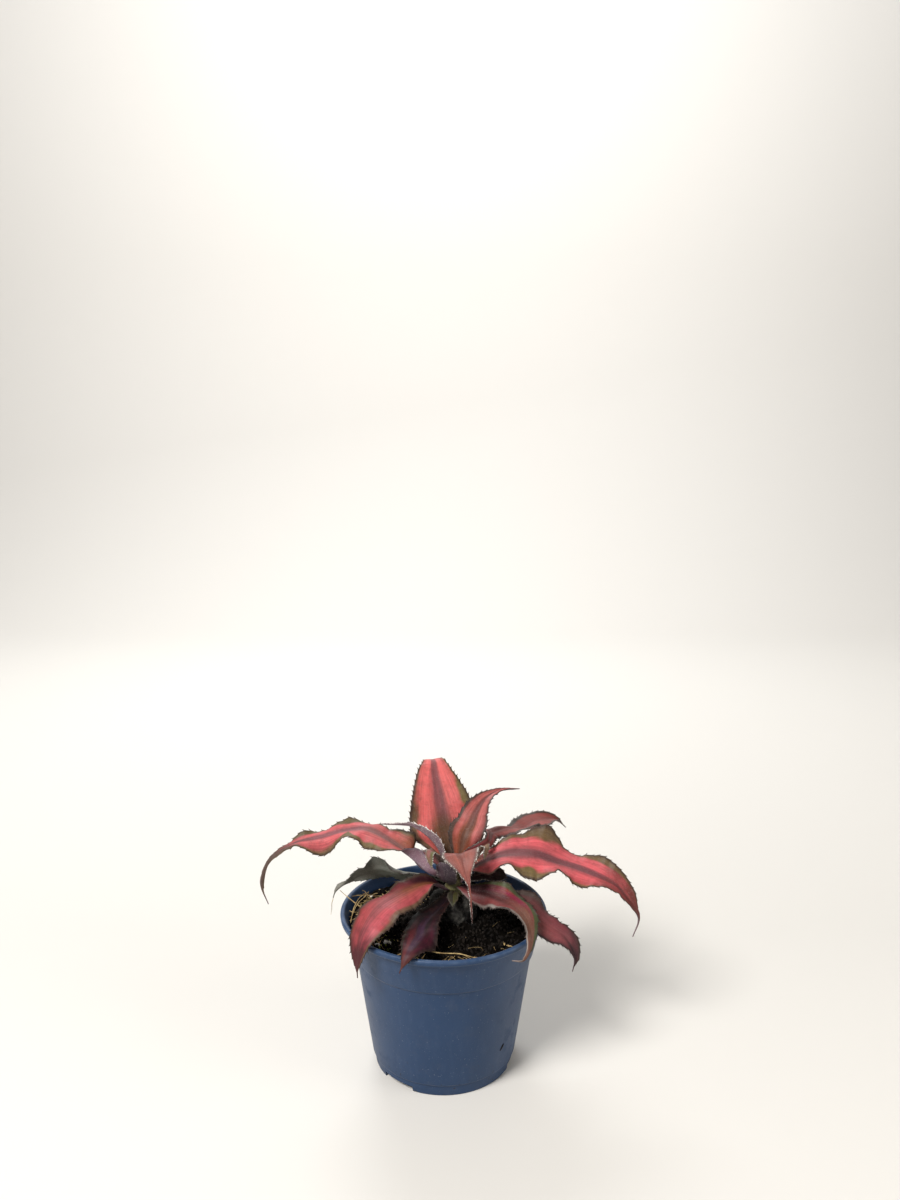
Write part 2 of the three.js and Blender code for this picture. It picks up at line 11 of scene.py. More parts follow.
# %% Load the frame
import math
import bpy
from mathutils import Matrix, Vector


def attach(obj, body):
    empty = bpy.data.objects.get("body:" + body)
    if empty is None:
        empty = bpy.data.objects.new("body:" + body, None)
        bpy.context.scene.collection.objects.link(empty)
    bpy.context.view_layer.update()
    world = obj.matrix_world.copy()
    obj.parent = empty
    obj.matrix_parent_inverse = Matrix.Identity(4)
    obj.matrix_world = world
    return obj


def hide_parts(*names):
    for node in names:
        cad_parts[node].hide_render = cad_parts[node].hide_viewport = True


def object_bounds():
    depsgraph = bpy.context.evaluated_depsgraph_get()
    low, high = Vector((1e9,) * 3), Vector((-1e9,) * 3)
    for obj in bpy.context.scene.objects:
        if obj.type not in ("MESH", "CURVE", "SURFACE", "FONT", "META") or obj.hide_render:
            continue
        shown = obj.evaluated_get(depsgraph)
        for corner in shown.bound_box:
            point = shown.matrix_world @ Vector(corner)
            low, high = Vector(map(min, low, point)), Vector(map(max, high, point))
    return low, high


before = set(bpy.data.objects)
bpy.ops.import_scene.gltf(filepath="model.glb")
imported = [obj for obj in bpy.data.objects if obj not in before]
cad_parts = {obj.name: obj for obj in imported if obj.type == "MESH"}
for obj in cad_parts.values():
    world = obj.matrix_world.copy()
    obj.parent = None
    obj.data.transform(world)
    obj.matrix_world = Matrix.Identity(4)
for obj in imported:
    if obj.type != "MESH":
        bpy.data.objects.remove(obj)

from types import SimpleNamespace

import bmesh
import bpy
import numpy as np
from mathutils import Matrix, Vector, noise

cad_box = [list(corner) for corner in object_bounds()]
print("solids:", len(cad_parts), "box in metres:", cad_box)

# %% [markdown]
# ## Sizes
#
# Everything below is worked out in millimetres, because pots and leaves are measured that way, and is
# turned into metres when a mesh is made. These are the same sizes that the solids were built from.

# %% Sizes of the pot, the soil, the plug and the stem, in millimetres
MM = 0.001
GAP = 0.3

RIM_RADIUS, POT_HEIGHT, STEP_HEIGHT = 45, 69, 52
FOOT_HEIGHT, FLOOR_UNDER, FLOOR_TOP, WALL = 5, 4, 5.6, 1.3
PAD_RADIUS = 8

SOIL_TOP = 62
PLUG_AT, PLUG_TOP, PLUG_RADIUS, PLUG_DEPTH = (4.5, 0), 76, 10, 22
STEM_FOOT, STEM_TOP, STEM_RADIUS, STEM_TOP_RADIUS = 70, 90, 4.2, 2.6
SOIL_FLOOR_RADIUS, PLUG_ROOM, STEM_HOLE_RADIUS = 28.8, 0.6, 4.6
print("pot", 2 * RIM_RADIUS, "mm wide and", POT_HEIGHT, "mm high")


# %% [markdown]
# ## Helpers for shapes
#
# A smooth step is a soft switch between two values. A mesh is made from points in millimetres, and its
# faces are turned outwards once its doubled points are merged. Round things are made ring by ring, and
# every face joins two points of one ring to the two beside them on the next.

# %% Smooth steps and meshes
def smooth_step(x, low, high):
    share = np.clip((np.asarray(x, float) - low) / (high - low), 0, 1)
    return share * share * (3 - 2 * share)


def shown(name, data):
    """An object for a mesh, a lamp or a camera, linked to the scene."""
    piece = bpy.data.objects.new(name, data)
    bpy.context.scene.collection.objects.link(piece)
    return piece


DOUBLED = 1e-6


def clean(mesh, sharp_angle=None, merge=True):
    """Drops loose points, merges doubled ones, points the faces outwards and shades them smooth."""
    work = bmesh.new()
    work.from_mesh(mesh)
    bmesh.ops.delete(work, geom=[v for v in work.verts if not v.link_faces], context="VERTS")
    if merge:
        bmesh.ops.remove_doubles(work, verts=work.verts, dist=DOUBLED)
    bmesh.ops.recalc_face_normals(work, faces=work.faces)
    work.to_mesh(mesh)
    work.free()
    mesh.polygons.foreach_set("use_smooth", [True] * len(mesh.polygons))
    if sharp_angle:
        mesh.set_sharp_from_angle(angle=math.radians(sharp_angle))
    return mesh


def mesh_in_mm(name, points, faces, edges=()):
    mesh = bpy.data.meshes.new(name)
    mesh.from_pydata([[value * MM for value in point] for point in points], edges, faces)
    mesh.update(calc_edges=True)
    return mesh


def mesh_of(work, name):
    """The plain mesh of a bmesh, which is freed."""
    mesh = bpy.data.meshes.new(name)
    work.to_mesh(mesh)
    work.free()
    return mesh


def tube_faces(rings, sides):
    """The faces between rings of points, each ring with the same number of sides."""
    starts = [(ring * sides + i, ring * sides + (i + 1) % sides) for ring in range(rings - 1)
              for i in range(sides)]
    return [(a, b, b + sides, a + sides) for a, b in starts]


# %% Turn the result of an object's modifiers into a plain mesh
def settled(piece, sharp_angle=None):
    """Keeps what the modifiers make as a plain mesh, and takes the modifiers off."""
    graph = bpy.context.evaluated_depsgraph_get()
    mesh = bpy.data.meshes.new_from_object(piece.evaluated_get(graph))
    mesh.name = piece.name
    piece.modifiers.clear()
    piece.data = mesh
    if sharp_angle:
        clean(mesh, sharp_angle)
    return piece


# %% [markdown]
# ## Helpers for nodes
#
# Materials and Geometry Nodes are both node trees. One helper adds a node and fills its inputs: a number
# or a colour is typed into the socket, and the output of another node is linked to it. Most patterns are
# sums of grains and switches, so the sums have short names too. A finish is built up like paint: a first
# colour, and then one tint after another, each with its own share.

# %% Add nodes to a tree
def fill(tree, socket, value):
    """Links another node's output to a socket, or types a number or a colour into it."""
    if isinstance(value, bpy.types.NodeSocket):
        tree.links.new(value, socket)
    else:
        socket.default_value = value


def add(tree, kind, inputs=(), out=0, **settings):
    """Adds a node. inputs is a list in the order of its sockets, or a dict by their names."""
    new = tree.nodes.new(kind)
    for key, value in settings.items():
        setattr(new, key, value)
    for socket, value in inputs.items() if isinstance(inputs, dict) else enumerate(inputs):
        fill(tree, new.inputs[socket], value)
    return new.outputs[out]


# %% Sums and scales with nodes
def calc(tree, operation, *values):
    return add(tree, "ShaderNodeMath", values, operation=operation)


def times(tree, value, *factors):
    for factor in factors:
        value = calc(tree, "MULTIPLY", value, factor)
    return value


def plus(tree, first, second):
    return calc(tree, "ADD", first, second)


def rising(tree, value, low, high):
    """0 below low, 1 above high, and smooth in between."""
    inputs = {"Value": value, "From Min": low, "From Max": high}
    return add(tree, "ShaderNodeMapRange", inputs, interpolation_type="SMOOTHSTEP")


def falling(tree, value, low, high):
    """1 below low, 0 above high, and smooth in between."""
    return calc(tree, "SUBTRACT", 1.0, rising(tree, value, low, high))


def scaled(tree, value, low, high, to_low, to_high):
    """A straight scale that turns low into to_low and high into to_high, and goes no further."""
    inputs = {"Value": value, "From Min": low, "From Max": high, "To Min": to_low, "To Max": to_high}
    return add(tree, "ShaderNodeMapRange", inputs)


# %% Colours
def paint(code):
    """The linear colour of an ordinary #rrggbb code."""
    parts = [int(code[i:i + 2], 16) / 255 for i in (1, 3, 5)]
    linear = [p / 12.92 if p <= 0.04045 else ((p + 0.055) / 1.055) ** 2.4 for p in parts]
    return (*linear, 1.0)


def blend(tree, share, first, second):
    """Mixes two colours, each of them a socket or a #rrggbb code."""
    new = tree.nodes.new("ShaderNodeMix")
    new.data_type = "RGBA"
    for place, value in ((0, share), (6, first), (7, second)):
        fill(tree, new.inputs[place], paint(value) if isinstance(value, str) else value)
    return new.outputs[2]


def tint(tree, colour, over, *shares):
    """Lays a second colour over the first, as strongly as the product of the shares."""
    return blend(tree, times(tree, *shares), colour, over)


# %% Empty materials, grain and relief
def new_material(name, roughness=0.5, specular=0.5):
    """A material with its shader: returns the material, its tree and the shader."""
    material = bpy.data.materials.new(name)
    material.use_nodes = True
    shader = material.node_tree.nodes["Principled BSDF"]
    shader.inputs["Roughness"].default_value = roughness
    shader.inputs["Specular IOR Level"].default_value = specular
    return material, material.node_tree, shader


def object_place(tree):
    return add(tree, "ShaderNodeTexCoord", out="Object")


def stretched(tree, place, along_z):
    """The place with its height scaled, so that a grain on it grows longer or shorter upwards."""
    return add(tree, "ShaderNodeMapping", {"Vector": place, "Scale": (1, 1, along_z)})


def grain(tree, vector, scale, detail=2.0, roughness=0.5):
    """A soft random pattern from 0 to 1; scale is in ripples per metre on object coordinates."""
    inputs = {"Vector": vector, "Scale": scale, "Detail": detail, "Roughness": roughness}
    return add(tree, "ShaderNodeTexNoise", inputs)


def coat(tree, shader, colour, height, depth_mm, strength):
    """Links a colour to the shader, and a bump of that depth."""
    inputs = {"Height": height, "Distance": depth_mm * MM, "Strength": strength}
    tree.links.new(add(tree, "ShaderNodeBump", inputs), shader.inputs["Normal"])
    tree.links.new(colour, shader.inputs["Base Color"])


# %% [markdown]
# ## Camera, floor and light
#
# The camera stands about 40 cm away, higher than the plant's top, and looks down by ten degrees. The
# floor is a plain pale sheet that sweeps up behind the pot, as in a studio. The light is soft: one large
# lamp above and to the left, a weaker one on the right, one behind, one for the backdrop, and a pale sky.

# %% Camera
SENSOR_WIDTH, LENS = 36, 29.13
CAMERA_AT, CAMERA_TILT = (0.00278, -0.3963, 0.2727), 80.36

camera_data = bpy.data.cameras.new("camera")
camera_data.sensor_width, camera_data.lens = SENSOR_WIDTH, LENS
camera = shown("camera", camera_data)
camera.location = CAMERA_AT
camera.rotation_euler = (math.radians(CAMERA_TILT), 0, 0)
bpy.context.scene.camera = camera
bpy.context.scene.view_settings.view_transform = "Standard"
print("camera looks down by", round(90 - CAMERA_TILT, 2), "degrees")


# %% Floor that sweeps up at the back
def make_floor(half_width=2.0, front=-1.5, back=0.9, bend=0.6, top=2.4, steps=24):
    line = [(front, 0.0)]
    for i in range(steps + 1):
        angle = i / steps * math.pi / 2
        line.append((back + bend * math.sin(angle), bend * (1 - math.cos(angle))))
    line.append((back + bend, top))
    points = [(x, y, z) for y, z in line for x in (-half_width, half_width)]
    faces = [(2 * i, 2 * i + 1, 2 * i + 3, 2 * i + 2) for i in range(len(line) - 1)]
    mesh = bpy.data.meshes.new("floor")
    mesh.from_pydata(points, [], faces)
    mesh.polygons.foreach_set("use_smooth", [True] * len(faces))
    return shown("floor", mesh)


floor = make_floor()
floor_finish, tree, shader = new_material("pale_floor", roughness=0.7, specular=0.2)
shader.inputs["Base Color"].default_value = paint("#d5d2cd")
floor.data.materials.append(floor_finish)


# %% Lamps and sky
def add_lamp(name, place, target, size, power, colour):
    data = bpy.data.lights.new(name, "AREA")
    data.shape = "DISK"
    data.size, data.energy, data.color = size, power, colour
    lamp = shown(name, data)
    lamp.location = place
    lamp.rotation_euler = (Vector(target) - Vector(place)).to_track_quat("-Z", "Y").to_euler()


PLANT_HEART = (0, 0, 0.08)
add_lamp("key", (-0.55, -0.65, 1.0), PLANT_HEART, 0.5, 20, (1.0, 0.98, 0.95))
add_lamp("side", (0.9, -0.3, 0.5), PLANT_HEART, 0.6, 3, (1.0, 0.96, 0.9))
add_lamp("back", (-0.2, 0.8, 0.9), PLANT_HEART, 0.5, 5, (0.95, 0.98, 1.0))
add_lamp("backdrop", (0, 0.35, 1.4), (0, 1.5, 1.2), 1.0, 22, (1.0, 1.0, 1.0))
sky = bpy.data.worlds.new("sky")
sky.use_nodes = True
background = sky.node_tree.nodes["Background"]
background.inputs["Color"].default_value = (1.0, 1.0, 1.0, 1.0)
background.inputs["Strength"].default_value = 0.23
bpy.context.scene.world = sky


# %% [markdown]
# ## The pot
#
# A nursery pot is moulded in one shot of thin polypropylene. Its shape follows a rule: one profile, turned
# round the axis. The profile has a pad under the floor, a foot ring, a line above the foot, a straight
# tapered wall, a small step, a collar, a flared lip, and then the inside. We round its corners, turn it
# with Geometry Nodes, and cut the three notches of the foot ring and the drain holes with a Boolean.

# %% The pot's profile, from the axis under the floor round to the axis inside
POT_UNDERSIDE = [(0, 0), (PAD_RADIUS, 0), (PAD_RADIUS + 0.8, FLOOR_UNDER), (27, FLOOR_UNDER), (28, 0)]
POT_OUTSIDE = [
    (30.3, 0), (30.9, FOOT_HEIGHT), (31.6, FOOT_HEIGHT + 0.3), (38.5, STEP_HEIGHT - 0.6),
    (39.4, STEP_HEIGHT), (42.6, POT_HEIGHT - 3.4), (RIM_RADIUS - 0.2, POT_HEIGHT - 2.2),
    (RIM_RADIUS, POT_HEIGHT - 0.6), (RIM_RADIUS - 0.5, POT_HEIGHT),
]
POT_INSIDE = [
    (RIM_RADIUS - 1.8, POT_HEIGHT), (RIM_RADIUS - 2.4, POT_HEIGHT - 1.2), (41.2, POT_HEIGHT - 4),
    (39.4 - WALL, STEP_HEIGHT), (38.5 - WALL, STEP_HEIGHT - 1), (30.6, FLOOR_TOP + 1.2), (29.4, FLOOR_TOP),
]


def rounded(profile, reach=0.5, steps=4):
    """The same profile with each inner corner turned into a short curve."""
    line = [profile[0]]
    for before, corner, after in zip(profile, profile[1:], profile[2:]):
        b, c, a = (np.array(p, float) for p in (before, corner, after))
        to_b, to_a = np.linalg.norm(b - c), np.linalg.norm(a - c)
        start = c + (b - c) * min(reach / to_b, 0.45)
        end = c + (a - c) * min(reach / to_a, 0.45)
        for u in np.linspace(0, 1, steps):
            line.append(tuple((1 - u) ** 2 * start + 2 * u * (1 - u) * c + u * u * end))
    return [*line, profile[-1]]


def pot_inside(height):
    """The pot's inner radius at a height."""
    wall = POT_INSIDE[::-1]
    return float(np.interp(height, [z for r, z in wall], [r for r, z in wall]))


pot_profile = rounded([*POT_UNDERSIDE, *POT_OUTSIDE, *POT_INSIDE, (0, FLOOR_TOP)])
print("points in the pot's profile:", len(pot_profile))


# %% Begin and end a Geometry Nodes tree
def new_tree(name, **kinds):
    """A tree with geometry, inputs of the named kinds and a finish: returns it and its inputs."""
    tree = bpy.data.node_groups.new(name, "GeometryNodeTree")
    tree.interface.new_socket("Geometry", in_out="OUTPUT", socket_type="NodeSocketGeometry")
    for socket, kind in {"Geometry": "Geometry", **kinds, "Finish": "Material"}.items():
        tree.interface.new_socket(socket, in_out="INPUT", socket_type="NodeSocket" + kind)
    return tree, tree.nodes.new("NodeGroupInput").outputs


def end_tree(tree, geometry, finish):
    """Makes instances real, gives the geometry its finish, and sends it out of the tree."""
    real = add(tree, "GeometryNodeRealizeInstances", {"Geometry": geometry})
    painted = add(tree, "GeometryNodeSetMaterial", {"Geometry": real, "Material": finish})
    tree.links.new(painted, tree.nodes.new("NodeGroupOutput").inputs[0])
    return tree


def use_tree(piece, tree, **values):
    """Puts a Geometry Nodes tree on a piece and types in its inputs by their sockets' identifiers."""
    modifier = piece.modifiers.new(tree.name, "NODES")
    modifier.node_group = tree
    for item in tree.interface.items_tree:
        if item.item_type == "SOCKET" and item.in_out == "INPUT" and item.name in values:
            modifier[item.identifier] = values[item.name]


# %% A tree that turns a profile round the Z axis
PATH_RADIUS = 0.01


def make_turning_tree():
    tree, given = new_tree("turn_round_axis", Sides="Int")
    line = add(tree, "GeometryNodeMeshToCurve", {"Mesh": given["Geometry"]})
    laid = add(tree, "GeometryNodeTransform", {
        "Geometry": line, "Rotation": (math.pi / 2, 0, 0), "Translation": (-PATH_RADIUS, 0, 0)})
    path = add(tree, "GeometryNodeCurvePrimitiveCircle", {
        "Resolution": given["Sides"], "Radius": PATH_RADIUS})
    turned = add(tree, "GeometryNodeCurveToMesh", {"Curve": path, "Profile Curve": laid})
    merged = add(tree, "GeometryNodeMergeByDistance", {"Geometry": turned, "Distance": DOUBLED})
    return end_tree(tree, merged, given["Finish"])


TURNING = make_turning_tree()


def turned_piece(name, profile, sides, finish):
    line = [(radius, 0, height) for radius, height in profile]
    edges = [(i, i + 1) for i in range(len(line) - 1)]
    piece = shown(name, mesh_in_mm(name, line, [], edges))
    use_tree(piece, TURNING, Sides=sides, Finish=finish)
    return settled(piece, sharp_angle=50)


print("tree:", TURNING.name, "with", len(TURNING.nodes), "nodes")

# %% [markdown]
# The plastic is matte and blue-grey. Up close it isn't one flat colour: the melt leaves faint clouds, the
# wall has a fine orange-peel skin and a few pale specks, dust dulls it in patches, and the lip, the step
# and the foot line are a little paler, partly rubbed and partly a painted highlight. All of it is read
# from the place on the object.


# %% The plastic's finish
PALE_LINES_WEAR_AND_HIGHLIGHT = [  # height, half width and strength of the pale line, wear and painted highlight, at the lip, step and foot line
    (POT_HEIGHT - 0.5, 0.9, 0.25), (STEP_HEIGHT, 0.35, 0.15), (FOOT_HEIGHT + 0.2, 0.4, 0.5)]


def make_plastic():
    material, tree, shader = new_material("blue_grey_plastic", roughness=0.5, specular=0.26)
    place = object_place(tree)
    height = add(tree, "ShaderNodeSeparateXYZ", [place], out="Z")
    colour = blend(tree, grain(tree, place, 45, detail=4), "#1f3655", "#294264")
    streaks = rising(tree, grain(tree, stretched(tree, place, 0.25), 420, detail=3), 0.5, 0.75)
    colour = tint(tree, colour, "#5c6e8c", streaks, 0.06)
    dust = rising(tree, grain(tree, place, 130, detail=6, roughness=0.7), 0.5, 0.72)
    colour = tint(tree, colour, "#8d8a84", dust, 0.07)
    patchy_wear_and_highlight = rising(tree, grain(tree, place, 160, detail=4), 0.3, 0.8)
    # Pale lines at the lip, the step and the foot line: partly wear, partly painted highlight.
    for level, reach, strength in PALE_LINES_WEAR_AND_HIGHLIGHT:
        away = calc(tree, "ABSOLUTE", calc(tree, "SUBTRACT", height, level * MM))
        near = falling(tree, away, 0.1 * MM, reach * MM)
        colour = tint(tree, colour, "#7f90aa", near, patchy_wear_and_highlight, strength)
    specks = rising(tree, grain(tree, place, 1500, detail=1), 0.72, 0.77)
    colour = tint(tree, colour, "#8a94a4", specks, 0.3)
    soiled = rising(tree, grain(tree, place, 700, detail=2), 0.66, 0.72)
    colour = tint(tree, colour, "#2a2622", soiled, falling(tree, height, 0.0, 20 * MM))
    tree.links.new(scaled(tree, dust, 0, 1, 0.42, 0.68), shader.inputs["Roughness"])
    peel = plus(tree, grain(tree, place, 1500, detail=2), times(tree, streaks, 0.3))
    coat(tree, shader, colour, peel, 0.06, 0.5)
    return material


PLASTIC = make_plastic()

# %% Turn the pot and cut its notches and drain holes
NOTCH_AT, NOTCH_ANGLE, NOTCH_HEIGHT = (230, 350, 110), 31, 2.3
NOTCH_RADIUS, RING_MIDDLE, RING_WIDTH = 29, 30.5, 8
DRAIN_HOLES, DRAIN_RADIUS, DRAIN_CIRCLE, DRAIN_DEPTH = 6, 3, 18, 10


def make_cutter():
    work = bmesh.new()
    notch_width = 2 * NOTCH_RADIUS * math.sin(math.radians(NOTCH_ANGLE / 2))
    for angle in NOTCH_AT:
        made = bmesh.ops.create_cube(work, size=1)["verts"]
        bmesh.ops.scale(work, verts=made, vec=(RING_WIDTH, notch_width, 2 * NOTCH_HEIGHT))
        bmesh.ops.translate(work, verts=made, vec=(RING_MIDDLE, 0, 0))
        turn = Matrix.Rotation(math.radians(angle), 3, "Z")
        bmesh.ops.rotate(work, verts=made, cent=(0, 0, 0), matrix=turn)
    for i in range(DRAIN_HOLES):
        angle = (i + 0.5) * 2 * math.pi / DRAIN_HOLES
        made = bmesh.ops.create_cone(work, segments=32, radius1=DRAIN_RADIUS, radius2=DRAIN_RADIUS,
                                     depth=DRAIN_DEPTH, cap_ends=True)["verts"]
        place = (DRAIN_CIRCLE * math.cos(angle), DRAIN_CIRCLE * math.sin(angle), FLOOR_TOP - 1)
        bmesh.ops.translate(work, verts=made, vec=place)
    bmesh.ops.scale(work, verts=work.verts, vec=(MM, MM, MM))
    return shown("cutter", mesh_of(work, "cutter"))


def make_pot():
    pot = turned_piece("plastic_pot", pot_profile, sides=160, finish=PLASTIC)
    cutter = make_cutter()
    cut = pot.modifiers.new("cut", "BOOLEAN")
    cut.object, cut.operation, cut.solver = cutter, "DIFFERENCE", "EXACT"
    settled(pot, sharp_angle=40)
    bpy.data.objects.remove(cutter)
    return pot


pot = make_pot()
print("pot:", len(pot.data.polygons), "faces")

# %% [markdown]
# ## The peat
#
# The pot is filled with black peat; its colour is darker still as painted shade inside the pot. Its top is
# a rough crumb with a mound at the plug, and it is heaped a little higher at the left. A ring of points that
# shrinks and shifts from the pot's axis to the plug's axis makes one closed body: the bottom, the side that
# follows the wall, the top, and the hole that the plug stands in.

# %% Relief of the soil's top
def soil_relief(x, y):
    """The broad lumps, the mound at the plug and the heap at the left, in millimetres."""
    lumps = 0.7 * math.sin(0.42 * x + 1.3) * math.sin(0.37 * y + 0.4)
    lumps += 0.5 * math.sin(0.83 * x - 0.61 * y + 2.1)
    lumps += 0.35 * math.sin(0.71 * x + 1.17 * y)
    from_plug = math.hypot(x - PLUG_AT[0], y - PLUG_AT[1])
    mound = 4.5 * (1 - float(smooth_step(from_plug, PLUG_RADIUS, 24)))
    return lumps + mound + 3.6 * float(smooth_step(-x, 16, 34))


def crumb(x, y):
    """The fine crumb of the peat on top of the broad lumps."""
    coarse = noise.noise((x * 0.28, y * 0.28, 1.7))
    middle = noise.noise((x * 0.75, y * 0.75, 5.1))
    fine = noise.noise((x * 1.9, y * 1.9, 9.3))
    return 0.9 * coarse + 0.8 * middle + 0.35 * fine


def ground_height(x, y):
    return SOIL_TOP + soil_relief(x, y) + crumb(x, y)


# %% Build the body of the soil from stacked rings
def stacked_rings(name, rings, sides, lift=None):
    """A closed body from rings (x, y, radius, height), from its lowest middle to its last middle."""
    points = []
    for x0, y0, radius, height in rings:
        for i in range(sides):
            angle = 2 * math.pi * i / sides
            x, y = x0 + radius * math.cos(angle), y0 + radius * math.sin(angle)
            points.append((x, y, lift(x, y) if height is None else height))
    return clean(mesh_in_mm(name, points, tube_faces(len(rings), sides)))


SOIL_EDGE = pot_inside(SOIL_TOP - 1.5) - GAP


def make_soil_rings(steps=64):
    rings = [(0, 0, 0, FLOOR_TOP + GAP), (0, 0, SOIL_FLOOR_RADIUS, FLOOR_TOP + GAP)]
    for height in (FLOOR_TOP + 2, STEP_HEIGHT - 1.6, STEP_HEIGHT + 0.4, SOIL_TOP - 2):
        rings.append((0, 0, pot_inside(height) - GAP - 0.1, height))
    hole = PLUG_RADIUS + PLUG_ROOM
    for i in range(steps + 1):
        share = (i / steps) ** 0.9
        rings.append((PLUG_AT[0] * share, 0, SOIL_EDGE + (hole - SOIL_EDGE) * share, None))
    foot = SOIL_TOP - PLUG_DEPTH - GAP
    rings += [(PLUG_AT[0], 0, hole, foot), (PLUG_AT[0], 0, 0, foot)]
    return rings


soil_body = stacked_rings("potting_peat", make_soil_rings(), sides=300, lift=ground_height)
soil = shown("potting_peat", soil_body)
print("soil:", len(soil.data.polygons), "faces, edge", round(SOIL_EDGE, 1), "mm")


# %% The peat's finish
def make_peat():
    material, tree, shader = new_material("near_black_peat_and_shade", roughness=0.95, specular=0.05)
    place = object_place(tree)
    clumps = grain(tree, place, 320, detail=6, roughness=0.7)
    # The peat's own dark colour, darkened further as painted shade inside the pot.
    colour = blend(tree, rising(tree, clumps, 0.35, 0.7), "#040302", "#100d0a")
    brown = rising(tree, grain(tree, place, 900, detail=4), 0.6, 0.75)
    colour = tint(tree, colour, "#33271b", brown, 0.3)
    coat(tree, shader, colour, grain(tree, place, 1400, detail=6, roughness=0.75), 0.5, 0.9)
    return material


soil.data.materials.append(make_peat())

# %% [markdown]
# ## The plug and the stem
#
# The young plant was raised in a small plug of pressed peat. It stands out of the soil as a rough grey
# drum. The stem is a short pale peg on top of it, ringed with the scars of old leaves.

# %% The rough plug
DENTS_FROM, OUTLINE_STEP = 5.2, 0.5


def make_plug():
    foot = SOIL_TOP - PLUG_DEPTH
    outline = rounded([
        (0, foot), (7, foot), (8.6, foot + 4), (9.2, SOIL_TOP - 1), (9.4, SOIL_TOP + 4), (9.9, PLUG_TOP - 5),
        (PLUG_RADIUS, PLUG_TOP - 2), (8.6, PLUG_TOP - 0.4), (5.4, PLUG_TOP),
        (STEM_HOLE_RADIUS, PLUG_TOP - 1), (STEM_HOLE_RADIUS, STEM_FOOT - GAP), (0, STEM_FOOT - GAP)],
        reach=1.2)
    fine = []
    for (r0, z0), (r1, z1) in zip(outline, outline[1:]):
        steps = max(1, round(math.hypot(r1 - r0, z1 - z0) / OUTLINE_STEP))
        for i in range(steps):
            fine.append((r0 + (r1 - r0) * i / steps, z0 + (z1 - z0) * i / steps))
    rings = [(0, 0, radius, height) for radius, height in [*fine, outline[-1]]]
    mesh = stacked_rings("root_plug_rough", rings, sides=120)
    for vertex in mesh.vertices:
        x, y, z = vertex.co / MM
        if math.hypot(x, y) > DENTS_FROM:
            angle = math.atan2(y, x)
            dents = 0.05 * math.sin(5 * angle + 0.5 * z) + 0.03 * math.sin(0.9 * z + 2 * x)
            dents += 0.05 * noise.noise((x * 0.45, y * 0.45, z * 0.45))
            dents += 0.035 * noise.noise((x * 1.3, y * 1.3, z * 1.3))
            x, y = x * (1 + dents), y * (1 + dents)
            if z > PLUG_TOP - 3:
                z += 0.35 * noise.noise((x * 0.9, y * 0.9, 4.4)) - 0.2
        vertex.co = Vector((x + PLUG_AT[0], y + PLUG_AT[1], z)) * MM
    return shown("root_plug_rough", mesh)


def make_plug_finish():
    material, tree, shader = new_material("pressed_peat", roughness=0.9, specular=0.25)
    place = object_place(tree)
    clumps = grain(tree, place, 260, detail=6, roughness=0.7)
    colour = blend(tree, rising(tree, clumps, 0.35, 0.65), "#211f1e", "#56544f")
    hairs = rising(tree, grain(tree, stretched(tree, place, 3.0), 700, detail=3), 0.6, 0.72)
    colour = tint(tree, colour, "#6d655a", hairs, 0.55)
    coat(tree, shader, colour, grain(tree, place, 900, detail=6, roughness=0.7), 0.4, 0.8)
    return material


plug = make_plug()
plug.data.materials.append(make_plug_finish())
print("plug:", len(plug.data.polygons), "faces")


# %% The short stem
def stem_radius(height):
    share = float(smooth_step(height, PLUG_TOP, STEM_TOP))
    return STEM_RADIUS + (STEM_TOP_RADIUS - STEM_RADIUS) * share


def make_stem():
    outline = [(0, STEM_FOOT), (2.6, STEM_FOOT), (STEM_RADIUS - 0.6, STEM_FOOT + 2)]
    for height in np.arange(PLUG_TOP - 1, STEM_TOP - 1, 0.4):
        scar = 0.12 * math.sin(height * 2.4)
        outline.append((stem_radius(height) + scar - 0.12, float(height)))
    outline += [(1.4, STEM_TOP), (0, STEM_TOP)]
    rings = [(*PLUG_AT, radius, height) for radius, height in outline]
    return shown("scarred_stem", stacked_rings("scarred_stem", rings, sides=48))


def make_stem_finish():
    material, tree, shader = new_material("pale_green_stem", roughness=0.6, specular=0.35)
    place = object_place(tree)
    lines = grain(tree, stretched(tree, place, 0.2), 900, detail=3)
    colour = blend(tree, lines, "#4c4a2c", "#74704a")
    rings = rising(tree, grain(tree, place, 350, detail=3), 0.55, 0.7)
    colour = tint(tree, colour, "#4a3026", rings, 0.6)
    coat(tree, shader, colour, lines, 0.12, 0.7)
    return material


stem = make_stem()
stem.data.materials.append(make_stem_finish())
print("stem:", len(stem.data.polygons), "faces")


# %% [markdown]
# ## The leaves
#
# Each leaf follows a midrib that leaves the stem at its own bearing and height, arches out and hangs down.
# Across it the blade is folded a little like a gutter and rolled to one side, and its two margins wave up
# and down more than its middle does. The numbers say, for each leaf, where its midrib goes, how wide it
# is, and where its margins turn.
#
# - bearing, height: where it leaves the stem. heading: the bearing that the blade lies square to.
# - half: half of the greatest width, at the share widest of the length. neck: the share of it at the stem.
# - taper: how fast it narrows to the tip.
# - roll, fold: degrees, at even steps along the leaf.
# - left, right: places along the margin, each with how far it stands above the blade there.

